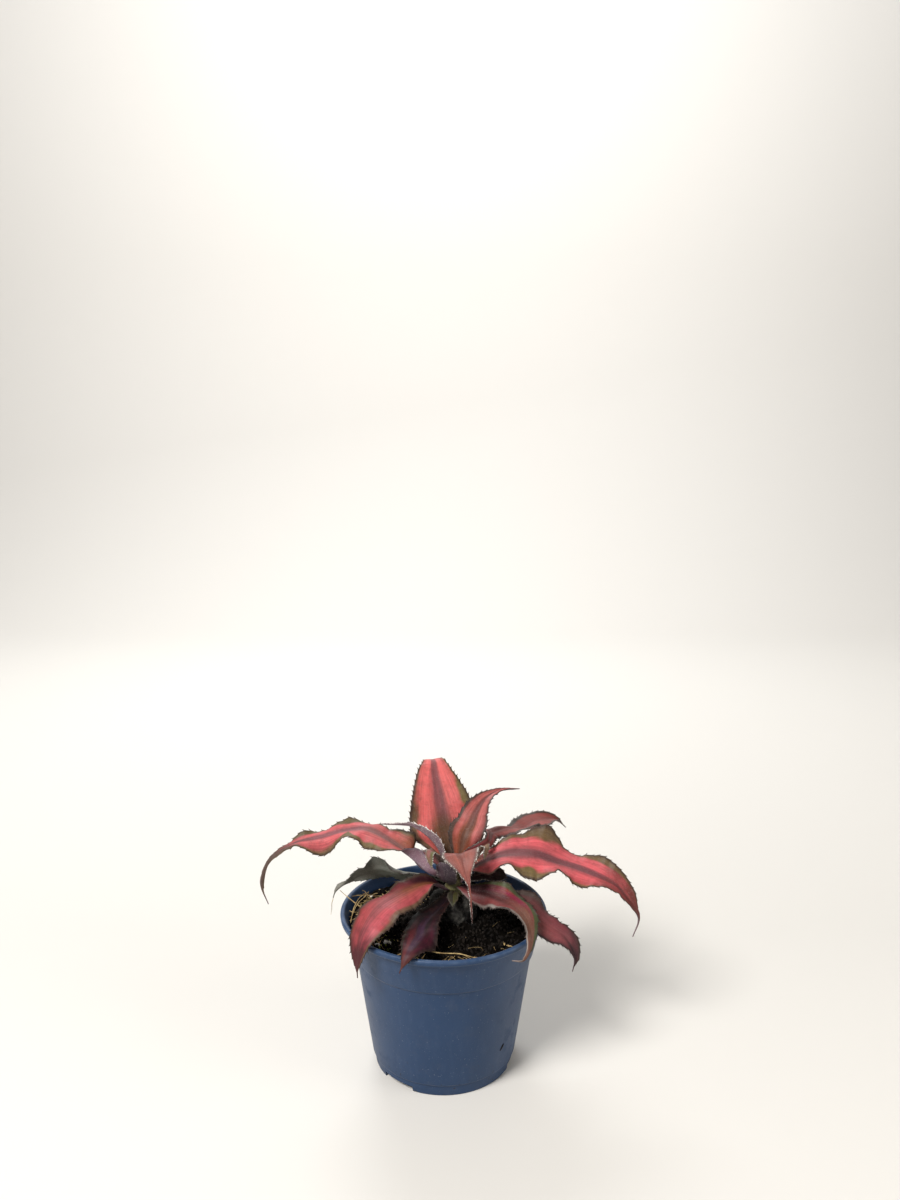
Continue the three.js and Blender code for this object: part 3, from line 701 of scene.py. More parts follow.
# %% The leaves' shapes, in millimetres and degrees
LEAVES = {
    "tall_back": dict(
        slot="leaf_red", bearing=114, height=84, heading=100, midrib=[(2, 9.5, 92.5), (0, 17, 100),
        (-2, 24, 109), (-4, 31, 118), (-5, 38, 122.5), (-7, 44, 120.5), (-12, 48, 116)], half=15.4,
        widest=0.28, neck=0.12, taper=1.5, roll=[0, 0, 0, 0], fold=[10, 0, 5, 8, 20], left=[(0.2, 1),
        (0.35, -1), (0.5, 1.5), (0.62, -1)], right=[(0.2, 1), (0.35, -1), (0.5, 1), (0.6, 0)]),
    "back_right": dict(
        slot="leaf_red", bearing=62, height=87.7, heading=75, midrib=[(9, 6, 98.5), (12, 9, 103),
        (14.5, 13, 107.5), (18.5, 17, 112), (23.5, 22, 113.5), (28.5, 27, 113), (35, 33, 111)], half=8,
        widest=0.28, neck=0.25, taper=3.1, roll=[0, 0, 0, 0], fold=[5, 15, 10, 10], left=[(0.2, 1),
        (0.35, -1.7), (0.5, 1.4), (0.7, 1)], right=[(0.2, -3.2), (0.35, 0.5), (0.5, 1.5), (0.7, -0.3)]),
    "right_back": dict(
        slot="leaf_red", bearing=20, height=87, heading=40, midrib=[(10, 1.2, 93.5), (15.2, 0.4, 96.6),
        (19.3, 3.2, 98), (20.5, 13, 97.8), (22.2, 18, 96.2), (27.5, 23, 95.6), (33.5, 27, 94),
        (38, 33, 92), (43.5, 39, 92.5), (50, 44, 91.5), (55, 48, 89), (59, 50, 85)], half=8.7,
        widest=0.75, neck=0.13, taper=2.2, roll=[0, -65, -20, 0, 0, -10], fold=[15, 15, 10, 10],
        left=[(0.25, -0.5), (0.42, -5.5), (0.58, -5.5), (0.68, -0.1), (0.76, -0.6), (0.87, 1.8),
        (0.94, 1.7)], right=[(0.4, -0.6), (0.5, -0.5), (0.61, 3.2), (0.74, -0.7), (0.85, 0.4)]),
    "big_right": dict(
        slot="leaf_red", bearing=2, height=83, heading=0, midrib=[(13.5, -1, 88.5), (24.5, 1, 92.5),
        (37.5, 3, 92.5), (49, 4, 88.5), (61.5, 2, 85), (73, -2, 81), (78.5, -4, 76), (83, -6, 70),
        (84, -7, 66), (81.5, -8, 59.5)], half=12.5, widest=0.37, neck=0.5, taper=1.7, roll=[0, -15, -15,
        -15, -10], fold=[10, 8, 0, 5, 20], left=[(0.13, -2.2), (0.2, -2.6), (0.27, 0), (0.31, -0.5),
        (0.4, 7.5), (0.53, -1.5), (0.66, 5), (0.8, 3.5), (0.9, 0.3)], right=[(0.05, 2), (0.12, -3.5),
        (0.21, 1.5), (0.29, -5), (0.35, -5), (0.46, 5.2), (0.6, -2.2), (0.7, 0.5), (0.85, -0.3)]),
    "long_left": dict(
        slot="leaf_red", bearing=195, height=83.5, heading=178, midrib=[(-6, -3.5, 87),
        (-11.5, -2.5, 91.5), (-17.5, -0.5, 95.5), (-32, 6, 102), (-43.5, 8, 101), (-52.5, 8, 98.5),
        (-64.5, 7, 96), (-72.5, 5, 92), (-77, 4, 88), (-79.5, 3, 82.5), (-80, 3, 77), (-77, 2, 69.5)],
        half=7.2, widest=0.42, neck=0.42, taper=3, roll=[-20, -55, 0, 20, 20, 20, 20, 20, 20], fold=[10,
        30, 10, 10, 5, 6, 8, 14, 20], left=[(0.1, 0), (0.16, 1.5), (0.22, -1), (0.3, -5), (0.355, -6),
        (0.455, 2), (0.59, -7), (0.69, 0.3), (0.8, -0.6), (0.9, -1.5)], right=[(0.13, -1), (0.17, 0),
        (0.21, 7), (0.26, 4.5), (0.32, -0.5), (0.4, -5), (0.46, 0.3), (0.57, -2), (0.65, 2), (0.7, -0.5),
        (0.76, 0.5)]),
    "young_curled": dict(
        slot="leaf_dark", bearing=175, height=87.5, heading=180, midrib=[(-1, 0.5, 94), (-4, 1, 99),
        (-8, 2, 102.5), (-11.5, 3, 104.5), (-15.5, 4, 105.5), (-28, 5, 105.5)], half=2.5, widest=0.35,
        neck=0.6, taper=1.6, roll=[0, -50, -40, -20], fold=[0, 40, 40, 30], left=[(0.3, 0.3),
        (0.6, -0.3)], right=[(0.3, 0.3), (0.6, -0.3)]),
    "heart_cup": dict(
        slot="leaf_dark", bearing=218, height=85.5, heading=215, midrib=[(-1.2, -4.5, 92),
        (-3.6, -6.5, 97), (-5.2, -8.8, 98.3), (-5.2, -10.8, 96), (-4.9, -11.5, 92.6)], half=2.8,
        widest=0.65, neck=0.5, taper=0.7, roll=[0, 0], fold=[10, 10, 20], left=[(0.4, 0.4), (0.7, -0.6)],
        right=[(0.4, 0.4), (0.7, -0.4)]),
    "front_hanging": dict(
        slot="leaf_red", bearing=282, height=87, heading=272, midrib=[(6.2, -7.5, 95.5), (7, -11.5, 99),
        (7.8, -15, 99), (9.2, -19, 94.5), (10.8, -21.5, 88), (11.5, -22.5, 81), (12, -22.8, 73.5)],
        half=8.2, widest=0.36, neck=0.24, taper=6.3, roll=[0, -6, 0, 0], fold=[10, 16, 15, 30],
        left=[(0.2, -0.3), (0.34, -0.7), (0.5, -0.5)], right=[(0.18, 0.5), (0.34, -2.5), (0.5, -0.5),
        (0.6, 0.3)]),
    "heart_ruffled": dict(
        slot="leaf_green", bearing=325, height=89, heading=320, midrib=[(12.5, -3.1, 91.5),
        (16, -4.9, 97.4), (17.8, -6.7, 100.2), (17.6, -7.8, 97.9), (17.4, -8, 94.7)], half=2.5,
        widest=0.62, neck=0.27, taper=0.7, roll=[0, 0], fold=[10, 10, 20], left=[(0.4, 0.5), (0.7, -0.5)],
        right=[(0.4, -0.5), (0.7, 0.5)]),
    "front_left": dict(
        slot="leaf_red", bearing=222, height=79, heading=223, midrib=[(-4, -6, 82.5), (-9.5, -10, 84),
        (-18.5, -18, 83.5), (-26, -25, 81.5), (-31, -31, 77), (-33.5, -34, 71), (-34.5, -36, 62),
        (-34.5, -36, 57)], half=9.5, widest=0.5, neck=0.28, taper=1.4, roll=[0, 15, 0, -5], fold=[10, 8,
        0, 10], left=[(0.15, 1.5), (0.22, -2), (0.31, -3.7), (0.5, -1), (0.6, -3.5), (0.8, -1)],
        right=[(0.15, 2.4), (0.3, -1), (0.4, -7.5), (0.6, -1), (0.8, 1)]),
    "front_small": dict(
        slot="leaf_dark", bearing=255, height=77.5, heading=250, midrib=[(-2, -12, 74.5), (-6, -18, 73.5),
        (-8.5, -24, 73), (-9.5, -31, 72.5), (-11.5, -37, 72.5), (-14, -43.5, 71.5), (-17, -47, 65.5)],
        half=7, widest=0.55, neck=0.35, taper=1.4, roll=[0, 0], fold=[20, 5, 0, 15], left=[(0.3, 1),
        (0.52, 0), (0.61, -4.5), (0.75, -2), (0.9, -1)], right=[(0.3, 1), (0.5, -1), (0.7, 0),
        (0.85, -1)]),
    "left_back": dict(
        slot="leaf_green", bearing=162, height=80.5, heading=170, midrib=[(-6, 3, 82), (-12.5, 4, 82),
        (-19.5, 6, 82), (-28.5, 9, 83), (-37.5, 10, 80), (-45, 8, 75.5), (-48, 7, 73), (-49, 6, 70.5)],
        half=8, widest=0.5, neck=0.4, taper=2.6, roll=[-20, -50, -60, -50, -30], fold=[20, 10, 5, 10],
        left=[(0.2, -3), (0.4, -4.8), (0.55, -0.3), (0.63, -2.8), (0.73, -0.3), (0.8, -0.7), (0.9, 1.5)],
        right=[(0.3, -2), (0.45, 0.6), (0.7, -2), (0.85, -0.2)]),
    "front_right": dict(
        slot="leaf_red", bearing=310, height=80.5, heading=317, midrib=[(12, -7.5, 80.5),
        (19, -10.5, 80.5), (25, -15, 80), (30, -19.5, 79.5), (33.5, -24, 78), (35, -28.5, 76),
        (35.5, -32.5, 72), (34.5, -36, 68.5), (32, -38.5, 66), (27.5, -39.5, 66.5)], half=7.8,
        widest=0.42, neck=0.35, taper=2.4, roll=[0, -30, -20, 0, 0], fold=[10, 15, 10, 15],
        left=[(0.2, 0), (0.33, 0.8), (0.43, -6.5), (0.52, -5.5), (0.6, -2.5), (0.7, 0)],
        right=[(0.22, -5), (0.36, 1), (0.52, 5), (0.66, 1.5), (0.76, -1), (0.9, -1)]),
    "lower_right": dict(
        slot="leaf_dark", bearing=350, height=77.5, heading=338, midrib=[(16, -4, 78), (24, -7.5, 77.5),
        (31, -11, 76.5), (36.5, -14.5, 75), (40.5, -17.5, 72.7), (43.5, -19, 71), (47, -20, 69),
        (50.5, -20.5, 66.5), (53.5, -21, 62), (55, -21.5, 57), (54, -22, 51.5)], half=7.6, widest=0.5,
        neck=0.35, taper=1.5, roll=[0, -15, -10, -20, -10], fold=[10, 5, 5, 15], left=[(0.3, 0),
        (0.43, 2.5), (0.55, -2), (0.7, -1.3), (0.82, 2), (0.92, 1.2)], right=[(0.3, 0), (0.5, 0.5),
        (0.66, -1.9), (0.8, 0.2)]),
    "small_left": dict(
        slot="leaf_green", bearing=250, height=82, heading=250, midrib=[(1.8, -7.8, 85), (0.6, -10, 90),
        (-1.2, -11, 95)], half=4.3, widest=0.55, neck=0.55, taper=0.5, roll=[0, 0], fold=[10, 15],
        left=[(0.5, 0.4)], right=[(0.5, -0.4)]),
    "small_front": dict(
        slot="leaf_green", bearing=270, height=78.7, heading=270, midrib=[(4, -9, 79), (4, -12, 78.6),
        (3.8, -15, 77)], half=2.4, widest=0.5, neck=0.6, taper=0.8, roll=[0, 0], fold=[10, 20],
        left=[(0.5, 0.4)], right=[(0.5, -0.4)]),
    "old_right": dict(
        slot="leaf_dark", bearing=350, height=82, heading=0, midrib=[(13.5, -1.5, 83.5), (18, 0, 84.5),
        (23, 1, 84), (28, 1.5, 82)], half=3.6, widest=0.65, neck=0.3, taper=0.9, roll=[0, -20, -55, -55],
        fold=[10, 10], left=[(0.4, 0.8), (0.7, -0.6)], right=[(0.4, -0.6), (0.7, 0.6)]),
    "hidden_back": dict(
        slot="leaf_dark", bearing=90, height=79.5, heading=95, midrib=[(4, 10, 83), (3, 19, 84),
        (2, 29, 83), (1, 38, 79), (0, 46, 73), (-1, 51, 65)], half=8, widest=0.45, neck=0.3, taper=1.6,
        roll=[0, 0], fold=[10, 8, 5, 15], left=[(0.2, 1), (0.35, -1.5), (0.5, 1.5), (0.65, -1), (0.8, 1)],
        right=[(0.25, -1), (0.4, 1.5), (0.55, -1.5), (0.7, 1), (0.85, -0.5)]),
    "hidden_right": dict(
        slot="leaf_dark", bearing=50, height=81.5, heading=38, midrib=[(12, 7.5, 84), (20, 13.5, 84),
        (28, 20, 82), (35, 28, 79), (40, 34, 74), (43, 38, 67)], half=7.5, widest=0.45, neck=0.4,
        taper=1.6, roll=[0, 0], fold=[20, 8, 5, 15], left=[(0.2, 1), (0.35, -1.5), (0.5, 1.5), (0.65, -1),
        (0.8, 1)], right=[(0.25, -1), (0.4, 1.5), (0.55, -1.5), (0.7, 1), (0.85, -0.5)]),
    "hidden_left": dict(
        slot="leaf_red", bearing=120, height=81, heading=138, midrib=[(-1, 7, 85.5), (-6, 11, 88.5),
        (-10, 15, 88), (-13, 19, 84)], half=5.5, widest=0.45, neck=0.3, taper=1.6, roll=[0, 0], fold=[10,
        15, 5], left=[(0.3, 0.8), (0.5, -0.8), (0.7, 0.8)], right=[(0.3, -0.8), (0.5, 0.8), (0.7, -0.8)]),
}
BLADE_THICKNESS = 0.8
TIP_HALF_WIDTH = 0.5
print("leaves:", len(LEAVES))

# %% [markdown]
# The midrib is a Catmull-Rom curve: it passes through every point, and its direction at each point is that
# of the line between its two neighbours. We measure it, so that a share of 0.5 is halfway along the real
# length, and not halfway along the list of points.


# %% The curve of a midrib
def unit(vectors):
    """Each row of an array, made one long."""
    return vectors / np.maximum(np.linalg.norm(vectors, axis=-1, keepdims=True), 1e-9)


def midrib_curve(points):
    """Two functions, the place and the direction at a share of the length, and the length itself."""
    points = np.array(points, float)
    padded = np.vstack([2 * points[0] - points[1], points, 2 * points[-1] - points[-2]])
    spans = len(points) - 1

    def at(u):
        place = np.clip(np.asarray(u, float), 0, 1) * spans
        i = np.minimum(place.astype(int), spans - 1)
        w = (place - i)[:, None]
        before, start, end, after = (padded[i + k] for k in range(4))
        leave, arrive = (end - before) / 2, (after - start) / 2
        cubic = 2 * start - 2 * end + leave + arrive
        square = -3 * start + 3 * end - 2 * leave - arrive
        return start + leave * w + square * w ** 2 + cubic * w ** 3

    even = np.linspace(0, 1, 201)
    walked = np.concatenate([[0], np.cumsum(np.linalg.norm(np.diff(at(even), axis=0), axis=1))])

    def place_at(share):
        return at(np.interp(share, walked / walked[-1], even))

    def direction_at(share):
        u = np.interp(share, walked / walked[-1], even)
        return unit(at(u + 1e-4) - at(u - 1e-4))

    return place_at, direction_at, walked[-1]


# %% Values along a leaf
def along(values, t):
    place = np.asarray(t) * (len(values) - 1)
    i = np.minimum(place.astype(int), len(values) - 2)
    values = np.array(values, float)
    return values[i] + (values[i + 1] - values[i]) * smooth_step(place - i, 0, 1)


def half_width(leaf, t):
    beyond = np.clip((t - leaf["widest"]) / (1 - leaf["widest"]), 0, 1)
    outer = leaf["half"] * (1 - beyond) ** leaf["taper"] * (1 + leaf["taper"] * beyond)
    inner = leaf["half"] * (leaf["neck"] + (1 - leaf["neck"]) * smooth_step(t, 0, leaf["widest"]))
    return np.where(t < leaf["widest"], inner, np.maximum(TIP_HALF_WIDTH, outer))


def ripple(turns, t):
    """How far a margin stands above the blade: a smooth way between its turns, and 0 at both ends."""
    places, heights = np.array([(0, 0), *turns, (1, 0)], float).T
    i = np.clip(np.searchsorted(places, t, side="right") - 1, 0, len(places) - 2)
    return heights[i] + (heights[i + 1] - heights[i]) * smooth_step(t, places[i], places[i + 1])


def channel(s):
    """The share of the fold's height at s: a round channel along the midrib, with straight sides."""
    return 1.3 * s * s / (np.abs(s) + 0.3)


# %% The middle surface of a blade
def grown(leaf):
    """The same leaf with its curve, which starts clear of the stem."""
    bearing, heading = math.radians(leaf["bearing"]), math.radians(leaf["heading"])
    out = np.array([math.cos(bearing), math.sin(bearing), 0])
    foot = out * (stem_radius(leaf["height"]) + GAP + 0.1)
    foot += np.array([*PLUG_AT, leaf["height"]])
    first = np.array(leaf["midrib"][0], float)
    rise = (first[2] - foot[2]) / np.linalg.norm(first - foot)
    foot += out * rise * BLADE_THICKNESS / 2
    place_at, direction_at, length = midrib_curve([foot, *leaf["midrib"]])
    across = np.array([math.sin(heading), -math.cos(heading), 0])
    return {**leaf, "place_at": place_at, "direction_at": direction_at, "length": length, "across": across}


def blade_surface(leaf, t, s):
    """Points of the middle surface for shares t along the leaf and s across it, from -1 to 1."""
    t, s = np.clip(np.asarray(t, float), 0, 1), np.asarray(s, float)
    forward = leaf["direction_at"](t)
    right = unit(leaf["across"] - forward * (forward @ leaf["across"])[:, None])
    up = np.cross(right, forward)
    roll = np.radians(along(leaf["roll"], t))[:, None]
    side = right * np.cos(roll) + up * np.sin(roll)
    face = up * np.cos(roll) - right * np.sin(roll)
    width, fold = half_width(leaf, t), np.radians(along(leaf["fold"], t))
    wave = np.minimum(1, s * s) * np.where(s < 0, ripple(leaf["left"], t), ripple(leaf["right"], t))
    sideways = (s * width * np.cos(fold))[:, None]
    lifted = (channel(s) * width * np.sin(fold) + wave)[:, None]
    return leaf["place_at"](t) + side * sideways + face * lifted


def blade_normal(leaf, t, s, step=0.01):
    low, high = np.clip(t - step, 0, 1), np.clip(t + step, 0, 1)
    lengthwise = blade_surface(leaf, high, s) - blade_surface(leaf, low, s)
    left, right = np.maximum(-1, s - 0.1), np.minimum(1, s + 0.1)
    crosswise = blade_surface(leaf, t, right) - blade_surface(leaf, t, left)
    return unit(np.cross(crosswise, lengthwise))


# %% [markdown]
# A real blade is thickest in the middle and runs out to a thin edge, so its section is a lens. The edge is
# a fine saw: every 2.4 mm it swells into a point that leans towards the tip and carries a small spine. We
# also crinkle the margin a little between its large waves.
#
# The blade stores numbers on its points for the finish to read: the share across and along it, the run in
# metres, which side it is, and where its olive margin starts. Nothing stands out of the solids' box: the
# blade stops just inside it, and a spine that has no room there is left out.

# %% Rows and columns of a blade
BOX_LOW, BOX_HIGH = np.array(cad_box[0]) / MM + 0.03, np.array(cad_box[1]) / MM - 0.03
TOOTH_PITCH, TOOTH_SWELL = 2.4, 0.5
TOOTH_STEPS = [(0.0, 0.0), (0.35, 0.16), (0.7, 0.55), (0.93, 1.0)]
TOOTH_FROM = 0.95
BLADE_HALF, GROOVE_DEPTH, GROOVE_WIDTH, CRINKLE = 0.42, 0.25, 0.16, 0.24
LEFT_COLUMNS = np.array([-1, -0.97, -0.91, -0.82, -0.7, -0.58, -0.46, -0.34, -0.22, -0.1])
COLUMNS = np.concatenate([LEFT_COLUMNS, [0], -LEFT_COLUMNS[::-1]])


def blade_rows(length):
    """The share along and the swell of the saw for each row, from the stem to the tip."""
    teeth = max(4, round(length / TOOTH_PITCH))
    rows = [((i + place) / teeth, swell) for i in range(teeth) for place, swell in TOOTH_STEPS]
    return np.array([*rows, (1.0, 0.0)])


print("columns across a blade:", len(COLUMNS))


# %% Build a blade with its stored numbers
SPINE_FORWARD, SPINES_TO, SPINE_ROOM = 0.9, 0.97, 0.25


def crinkle(t, s, length, seed):
    """Small puckers that grow towards the margin, in millimetres."""
    wave = np.sin(t * length / 0.95 + seed) + 0.6 * np.sin(t * length / 0.61 + 2.3 * seed + np.sign(s))
    return CRINKLE * wave * np.abs(s) ** 3 * smooth_step(t, 0.05, 0.3) * smooth_step(1 - t, 0, 0.3)


def blade_grid(leaf, rows, seed):
    """Points of both faces, row by row, their shares along and across, and where the margin starts."""
    count = len(COLUMNS)
    t, swell = (np.repeat(column, count) for column in rows.T)
    s = np.tile(COLUMNS, len(rows))
    width = half_width(leaf, t)
    tip = smooth_step(t, 0.9, 1.0)
    reach = 1 + swell * TOOTH_SWELL * np.minimum(1, width / 2.5) / width
    wide = np.where(np.abs(s) > TOOTH_FROM, s * reach, s) * (1 - 0.6 * tip)
    normal = blade_normal(leaf, t, s)
    middle = blade_surface(leaf, t, wide) + normal * crinkle(t, s, leaf["length"], seed)[:, None]
    groove = GROOVE_DEPTH * np.exp(-(s / GROOVE_WIDTH) ** 2) * smooth_step(1 - t, 0.1, 0.5)
    middle -= normal * groove[:, None]
    thick = BLADE_HALF * np.sqrt(np.clip(1 - s * s, 0, 1)) ** 0.8 * (1 - 0.5 * tip)
    upper, lower = middle + normal * thick[:, None], middle - normal * thick[:, None]
    left_rim, right_rim = (np.interp(t, *zip(*places)) for places in leaf["rims"])
    return upper, lower, t, s, 1 - np.where(s < 0, left_rim, right_rim)


def loop_of(upper, count, row):
    """Indices of one closed loop round the blade: over the top, then back underneath."""
    over = [row * count + i for i in range(count)]
    return over + [len(upper) + i for i in over[-2:0:-1]]


def store(mesh, name, values, kind="FLOAT"):
    attribute = mesh.attributes.new(name, kind, "POINT")
    key = "vector" if kind == "FLOAT_VECTOR" else "value"
    attribute.data.foreach_set(key, np.asarray(values).ravel())


def spine_marks(leaf, rows, middle, t, s):
    """How each point of the middle surface would lean a spine, and how large: 0 where none stands."""
    grid = middle.reshape(len(rows), len(COLUMNS), 3)
    ahead = np.diff(grid, axis=0)
    ahead = unit(np.concatenate([ahead, ahead[-1:]]))
    lean = np.zeros_like(grid)
    for edge, next_to in ((0, 1), (-1, -2)):
        lean[:, edge] = unit(grid[:, edge] - grid[:, next_to]) + SPINE_FORWARD * ahead[:, edge]
    lean = lean.reshape(-1, 3)
    end = middle + lean
    spiny = (np.abs(s) == 1) & np.repeat(rows[:, 1] == 1, len(COLUMNS)) & (t < SPINES_TO)
    spiny &= np.all((end > BOX_LOW + SPINE_ROOM) & (end < BOX_HIGH - SPINE_ROOM), axis=1)
    return lean, np.minimum(1, half_width(leaf, t) / 3) * smooth_step(t, 0.0, 0.12) * spiny


def make_blade(name, leaf, seed):
    rows = blade_rows(leaf["length"])
    upper, lower, t, s, rim_from = blade_grid(leaf, rows, seed)
    upper, lower = np.clip(upper, BOX_LOW, BOX_HIGH), np.clip(lower, BOX_LOW, BOX_HIGH)
    loops = [loop_of(upper, len(COLUMNS), row) for row in range(len(rows))]
    faces = [loops[0], loops[-1][::-1]]
    for a, b in zip(loops, loops[1:]):
        for i in range(len(a)):
            j = (i + 1) % len(a)
            faces.append((a[i], b[i], b[j], a[j]))
    mesh = mesh_in_mm(name, np.vstack([upper, lower]), faces)
    lean, spine_size = spine_marks(leaf, rows, (upper + lower) / 2, t, s)
    both_faces = {"across": s, "along": t, "run": t * leaf["length"] * MM, "rim_from": rim_from}
    for key, values in both_faces.items():
        store(mesh, key, np.concatenate([values, values]))
    store(mesh, "underside", np.concatenate([0 * s, 0 * s + 1]))
    store(mesh, "lean", np.concatenate([lean, 0 * lean]), "FLOAT_VECTOR")
    store(mesh, "spine_size", np.concatenate([spine_size, 0 * s]))
    return clean(mesh, merge=False)


# %% [markdown]
# ## Spines
#
# The spines repeat along both margins of every leaf, so Geometry Nodes place them: one small cone at each
# point that the blade marks, leaning as the blade says, and a little different each time.

# %% The tree that sets the spines
def stored(tree, name, kind="FLOAT"):
    """A number or a vector that the mesh stores on its points."""
    return add(tree, "GeometryNodeInputNamedAttribute", {"Name": name}, data_type=kind)


def make_spine_tree():
    tree, given = new_tree("margin_spines", Length="Float", Width="Float", Seed="Int")
    size, lean = stored(tree, "spine_size"), stored(tree, "lean", "FLOAT_VECTOR")
    cone = add(tree, "GeometryNodeMeshCone", {
        "Vertices": 5, "Radius Top": 0.0, "Radius Bottom": given["Width"], "Depth": given["Length"]})
    aim = add(tree, "FunctionNodeAlignRotationToVector", {"Vector": lean}, axis="Z")
    chance = add(tree, "FunctionNodeRandomValue", {2: 0.7, 3: 1.25, "Seed": given["Seed"]}, out=1)
    chosen = add(tree, "FunctionNodeCompare", {0: size, 1: 0.05}, data_type="FLOAT",
                 operation="GREATER_THAN")
    spines = add(tree, "GeometryNodeInstanceOnPoints", {
        "Points": given["Geometry"], "Selection": chosen, "Instance": cone, "Rotation": aim,
        "Scale": times(tree, size, chance)})
    join = tree.nodes.new("GeometryNodeJoinGeometry")
    tree.links.new(spines, join.inputs[0])
    tree.links.new(given["Geometry"], join.inputs[0])
    return end_tree(tree, join.outputs[0], given["Finish"])


SPINE_LENGTH, SPINE_WIDTH = 0.75, 0.17
SPINES = make_spine_tree()
print("tree:", SPINES.name, "with", len(SPINES.nodes), "nodes")

# %% [markdown]
# ## The skin of a leaf
#
# The pattern is the same on every leaf, and only its colours differ, so it is one node group. From the
# middle out: a mauve stripe that turns olive low down and has an olive shadow on both sides, a bright
# band, a deeper band, and the olive margin with a dark edge. The colour of the leaf's base climbs up
# beside the stripe. Fine lines and cloudy streaks run the whole length. Over all of it lie silver scales,
# few on the upper face, and many underneath, where they hide the colour. Young leaves also carry a frost
# of white dots along their edges.

# %% The pattern's sockets
PATTERN_COLOURS = ["band_left", "band_right", "deep_left", "deep_right", "base_left", "base_right",
                   "rim_left", "rim_right", "stripe_low", "stripe_high", "tip", "under"]
PATTERN_NUMBERS = dict(stripe_width=0.24, stripe_share=0.9, scurf=0.1, base_reach=0.25, base_climb=0.2,
                       tip_from=0.78, mottle=0.4, frost=0.0, under_share=0.85, seed=0.0)
SILVER, WHITE, DARK_EDGE, SHADE, FLECK = "#b4aaa6", "#e6e0d8", "#2a1c17", "#1c0d10", "#4a2a26"


def begin_pattern():
    """The empty node group and its inputs."""
    tree = bpy.data.node_groups.new("leaf_pattern", "ShaderNodeTree")
    for name in PATTERN_COLOURS:
        tree.interface.new_socket(name, in_out="INPUT", socket_type="NodeSocketColor")
    for name, value in PATTERN_NUMBERS.items():
        tree.interface.new_socket(name, in_out="INPUT", socket_type="NodeSocketFloat").default_value = value
    for name, kind in (("Color", "Color"), ("Roughness", "Float"), ("Height", "Float")):
        tree.interface.new_socket(name, in_out="OUTPUT", socket_type="NodeSocket" + kind)
    return tree, tree.nodes.new("NodeGroupInput").outputs


# %% What the pattern reads from the blade
def streaks(tree, face, cross, length, detail=3):
    """Noise drawn out along the leaf, with so many ripples across its half width and a metre along it."""
    vector = add(tree, "ShaderNodeCombineXYZ", [
        times(tree, face.across, cross), times(tree, face.run, length), face.seed])
    return grain(tree, vector, 1.0, detail)


def wandering(tree, face, value, reach, *ripples):
    """The value, which streaks push up and down a little."""
    push = calc(tree, "SUBTRACT", streaks(tree, face, *ripples), 0.5)
    return plus(tree, value, times(tree, push, reach))


def read_face(tree, seed):
    """Where a point lies on the blade. out and low are the wandering shares across and along it."""
    face = SimpleNamespace(seed=seed, place=object_place(tree), **{
        name: add(tree, "ShaderNodeAttribute", out="Fac", attribute_name=name)
        for name in ("across", "along", "run", "rim_from", "underside")})
    face.lines = streaks(tree, face, 16, 70)
    face.right = rising(tree, face.across, -0.02, 0.02)
    face.from_middle = calc(tree, "ABSOLUTE", face.across)
    face.out = wandering(tree, face, face.from_middle, 0.3, 3, 45)
    face.low = wandering(tree, face, face.along, 0.3, 1.2, 110, 2)
    return face


# %% The bands, and the base that climbs beside the stripe
def either(tree, given, face, name):
    """The colour of that name for the half of the blade that the point is on."""
    return blend(tree, face.right, given[name + "_left"], given[name + "_right"])


def lay_bands(tree, given, face):
    deep = either(tree, given, face, "deep")
    colour = tint(tree, either(tree, given, face, "band"), deep, rising(tree, face.out, 0.5, 0.92))
    mottle = rising(tree, streaks(tree, face, 4.5, 130, 4), 0.42, 0.7)
    colour = tint(tree, colour, deep, mottle, given["mottle"])
    reach = given["base_reach"]
    climb = times(tree, falling(tree, face.out, 0.2, 0.6), given["base_climb"])
    at_base = falling(tree, calc(tree, "SUBTRACT", face.low, climb), times(tree, reach, 0.2), reach)
    return tint(tree, colour, either(tree, given, face, "base"), at_base)


# %% The olive shadow of the stripe, and the stripe on it
def lay_stripe(tree, given, face, colour):
    olive = given["stripe_low"]
    stripe = blend(tree, rising(tree, face.low, 0.2, 0.5), olive, given["stripe_high"])
    for inner, outer, fading, strength, tone in (
            (0.9, 2.2, falling(tree, face.low, 0.2, 0.75), 0.5, olive),
            (0.45, 1.4, falling(tree, face.along, 0.75, 0.98), 1.0, stripe)):
        edges = (times(tree, given["stripe_width"], share) for share in (inner, outer))
        inside = falling(tree, face.out, *edges)
        colour = tint(tree, colour, tone, inside, fading, given["stripe_share"], strength)
    return colour


# %% The tip, the olive margin and its dark edge, the fine lines and the flecks
def lay_edges(tree, given, face, colour):
    tip = rising(tree, face.low, given["tip_from"], plus(tree, given["tip_from"], 0.2))
    colour = tint(tree, colour, given["tip"], tip)
    over = rising(tree, calc(tree, "SUBTRACT", face.out, face.rim_from), -0.1, 0.07)
    colour = tint(tree, colour, either(tree, given, face, "rim"), over)
    colour = tint(tree, colour, DARK_EDGE, rising(tree, face.from_middle, 0.88, 0.98), 0.85)
    colour = tint(tree, colour, SHADE, scaled(tree, face.lines, 0.25, 0.75, 0.0, 0.4))
    flecks = rising(tree, grain(tree, face.place, 420, detail=5, roughness=0.65), 0.45, 0.75)
    return tint(tree, colour, FLECK, flecks, 0.35)


